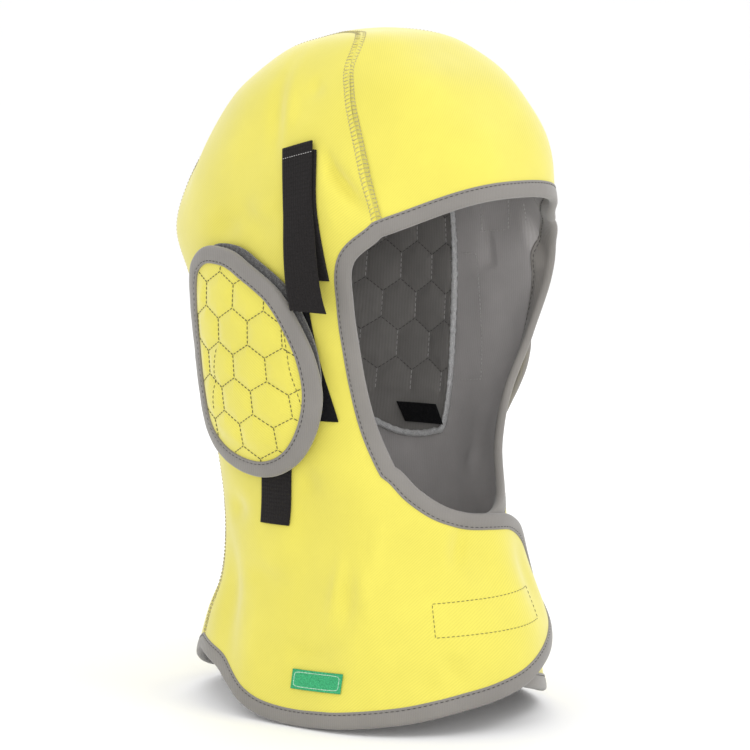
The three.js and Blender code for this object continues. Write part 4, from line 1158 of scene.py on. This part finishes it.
def lining_stitching(name, sign):
    threads = Stitches()
    for row in LINING_ROWS:
        line = resample(row.astype(float), 1.0)
        base = cast(np.stack([0 * line[:, 0], line[:, 0], -line[:, 1]], -1), (-1, 0, 0))
        place, normal = dressed(base * [-sign, 1, 1], float(sign < 0))
        threads.line(place + normal * (LINING_BOTTOM - 0.15), -normal, 2.4, 0.7, 0.3, 0.3)
    threads.build(f"lining_stitches_{name}", PALE_THREAD, "lining")


def front_stitching():
    """The stitched rectangle that holds the touch tape behind the right front flap."""
    corners = np.array([[-24.5, 0.822], [9.8, 0.812], [9.4, 0.858], [-24.9, 0.868]])
    threads = Stitches()
    for a, b in zip(corners, np.roll(corners, -1, 0)):
        row = a + (b - a) * np.linspace(0, 1, 40)[:, None]
        place, normal = dressed(on_form(row[:, 0], row[:, 1]), 1.0)
        threads.line(place + normal * 0.05, normal, 2.6, 0.8, 0.2, 0.25)
    threads.build("closure_stitches", QUILT_THREAD, "binding")


crown()
hood_binding()
seams()
for side_name, side_sign in (("right", -1), ("left", 1)):
    for make in (side, ear, pocket, patch, lining_stitching, straps):
        make(side_name, side_sign)
label()
front_stitching()
for node_name in ("fastener_loop_tape", "fastener_hook_tape"):
    tape_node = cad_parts[node_name]
    tape_node.data.materials.clear()
    tape_node.data.materials.append(HOOK)


# Stage, light and camera

FLOOR_HALF = 40.0
FLOOR_GAP = 0.0004
DAYLIGHT = 1.08
# name, place from the middle of the part, size, power in watts
LIGHTS = (
    ("key", (0.1, -1.4, 1.6), 1.0, 8),
    ("front", (-1.3, -1.5, 0.35), 0.9, 8),
    ("rear", (1.2, 1.2, 0.9), 1.2, 5),
)


def stage():
    floor_z = cad_box[0].z - FLOOR_GAP
    mat, _, _ = material("pale_floor", (0.93, 0.93, 0.93), 0.9)
    mesh = bpy.data.meshes.new("floor")
    w = FLOOR_HALF
    mesh.from_pydata([(-w, -w, floor_z), (w, -w, floor_z), (w, w, floor_z), (-w, w, floor_z)],
                     [], [(0, 1, 2, 3)])
    mesh.materials.append(mat)
    linked("floor", mesh)
    world = bpy.data.worlds.new("studio")
    world.use_nodes = True
    fill(world.node_tree.nodes["Background"], Color=(1, 1, 1, 1), Strength=DAYLIGHT)
    bpy.context.scene.world = world
    bpy.context.scene.view_settings.view_transform = "Standard"


def aim(obj, place, rotation):
    obj.location = place
    obj.rotation_mode = "QUATERNION"
    obj.rotation_quaternion = rotation


def area_light(name, place, target, size, power):
    data = bpy.data.lights.new(name, "AREA")
    data.shape = "DISK"
    data.size = size
    data.energy = power
    aim(linked(name, data), place, (target - place).to_track_quat("-Z", "Y"))


AZIMUTH = math.radians(47)
ELEVATION = math.radians(7)
DISTANCE = 1.9
MM_PER_PIXEL = 0.555
PICTURE_PIXELS = 750
SHIFT_PIXELS = 9
MIDDLE_DROP = 192
SENSOR = 36


def camera():
    right = Vector((math.cos(AZIMUTH), -math.sin(AZIMUTH), 0))
    back = Vector((-math.sin(AZIMUTH) * math.cos(ELEVATION),
                   -math.cos(AZIMUTH) * math.cos(ELEVATION), math.sin(ELEVATION)))
    target = Vector((0, 0, (LIFT - MIDDLE_DROP) * 0.001))
    target += right * (SHIFT_PIXELS * MM_PER_PIXEL * 0.001)
    data = bpy.data.cameras.new("camera")
    data.sensor_width = SENSOR
    data.lens = SENSOR * DISTANCE / (PICTURE_PIXELS * MM_PER_PIXEL * 0.001)
    cam = linked("camera", data)
    up = back.cross(right).normalized()
    aim(cam, target + back * DISTANCE, Matrix((right, up, back)).transposed().to_quaternion())
    bpy.context.scene.camera = cam
    for name, place, size, power in LIGHTS:
        area_light(name, target + Vector(place), target, size, power)


stage()
camera()
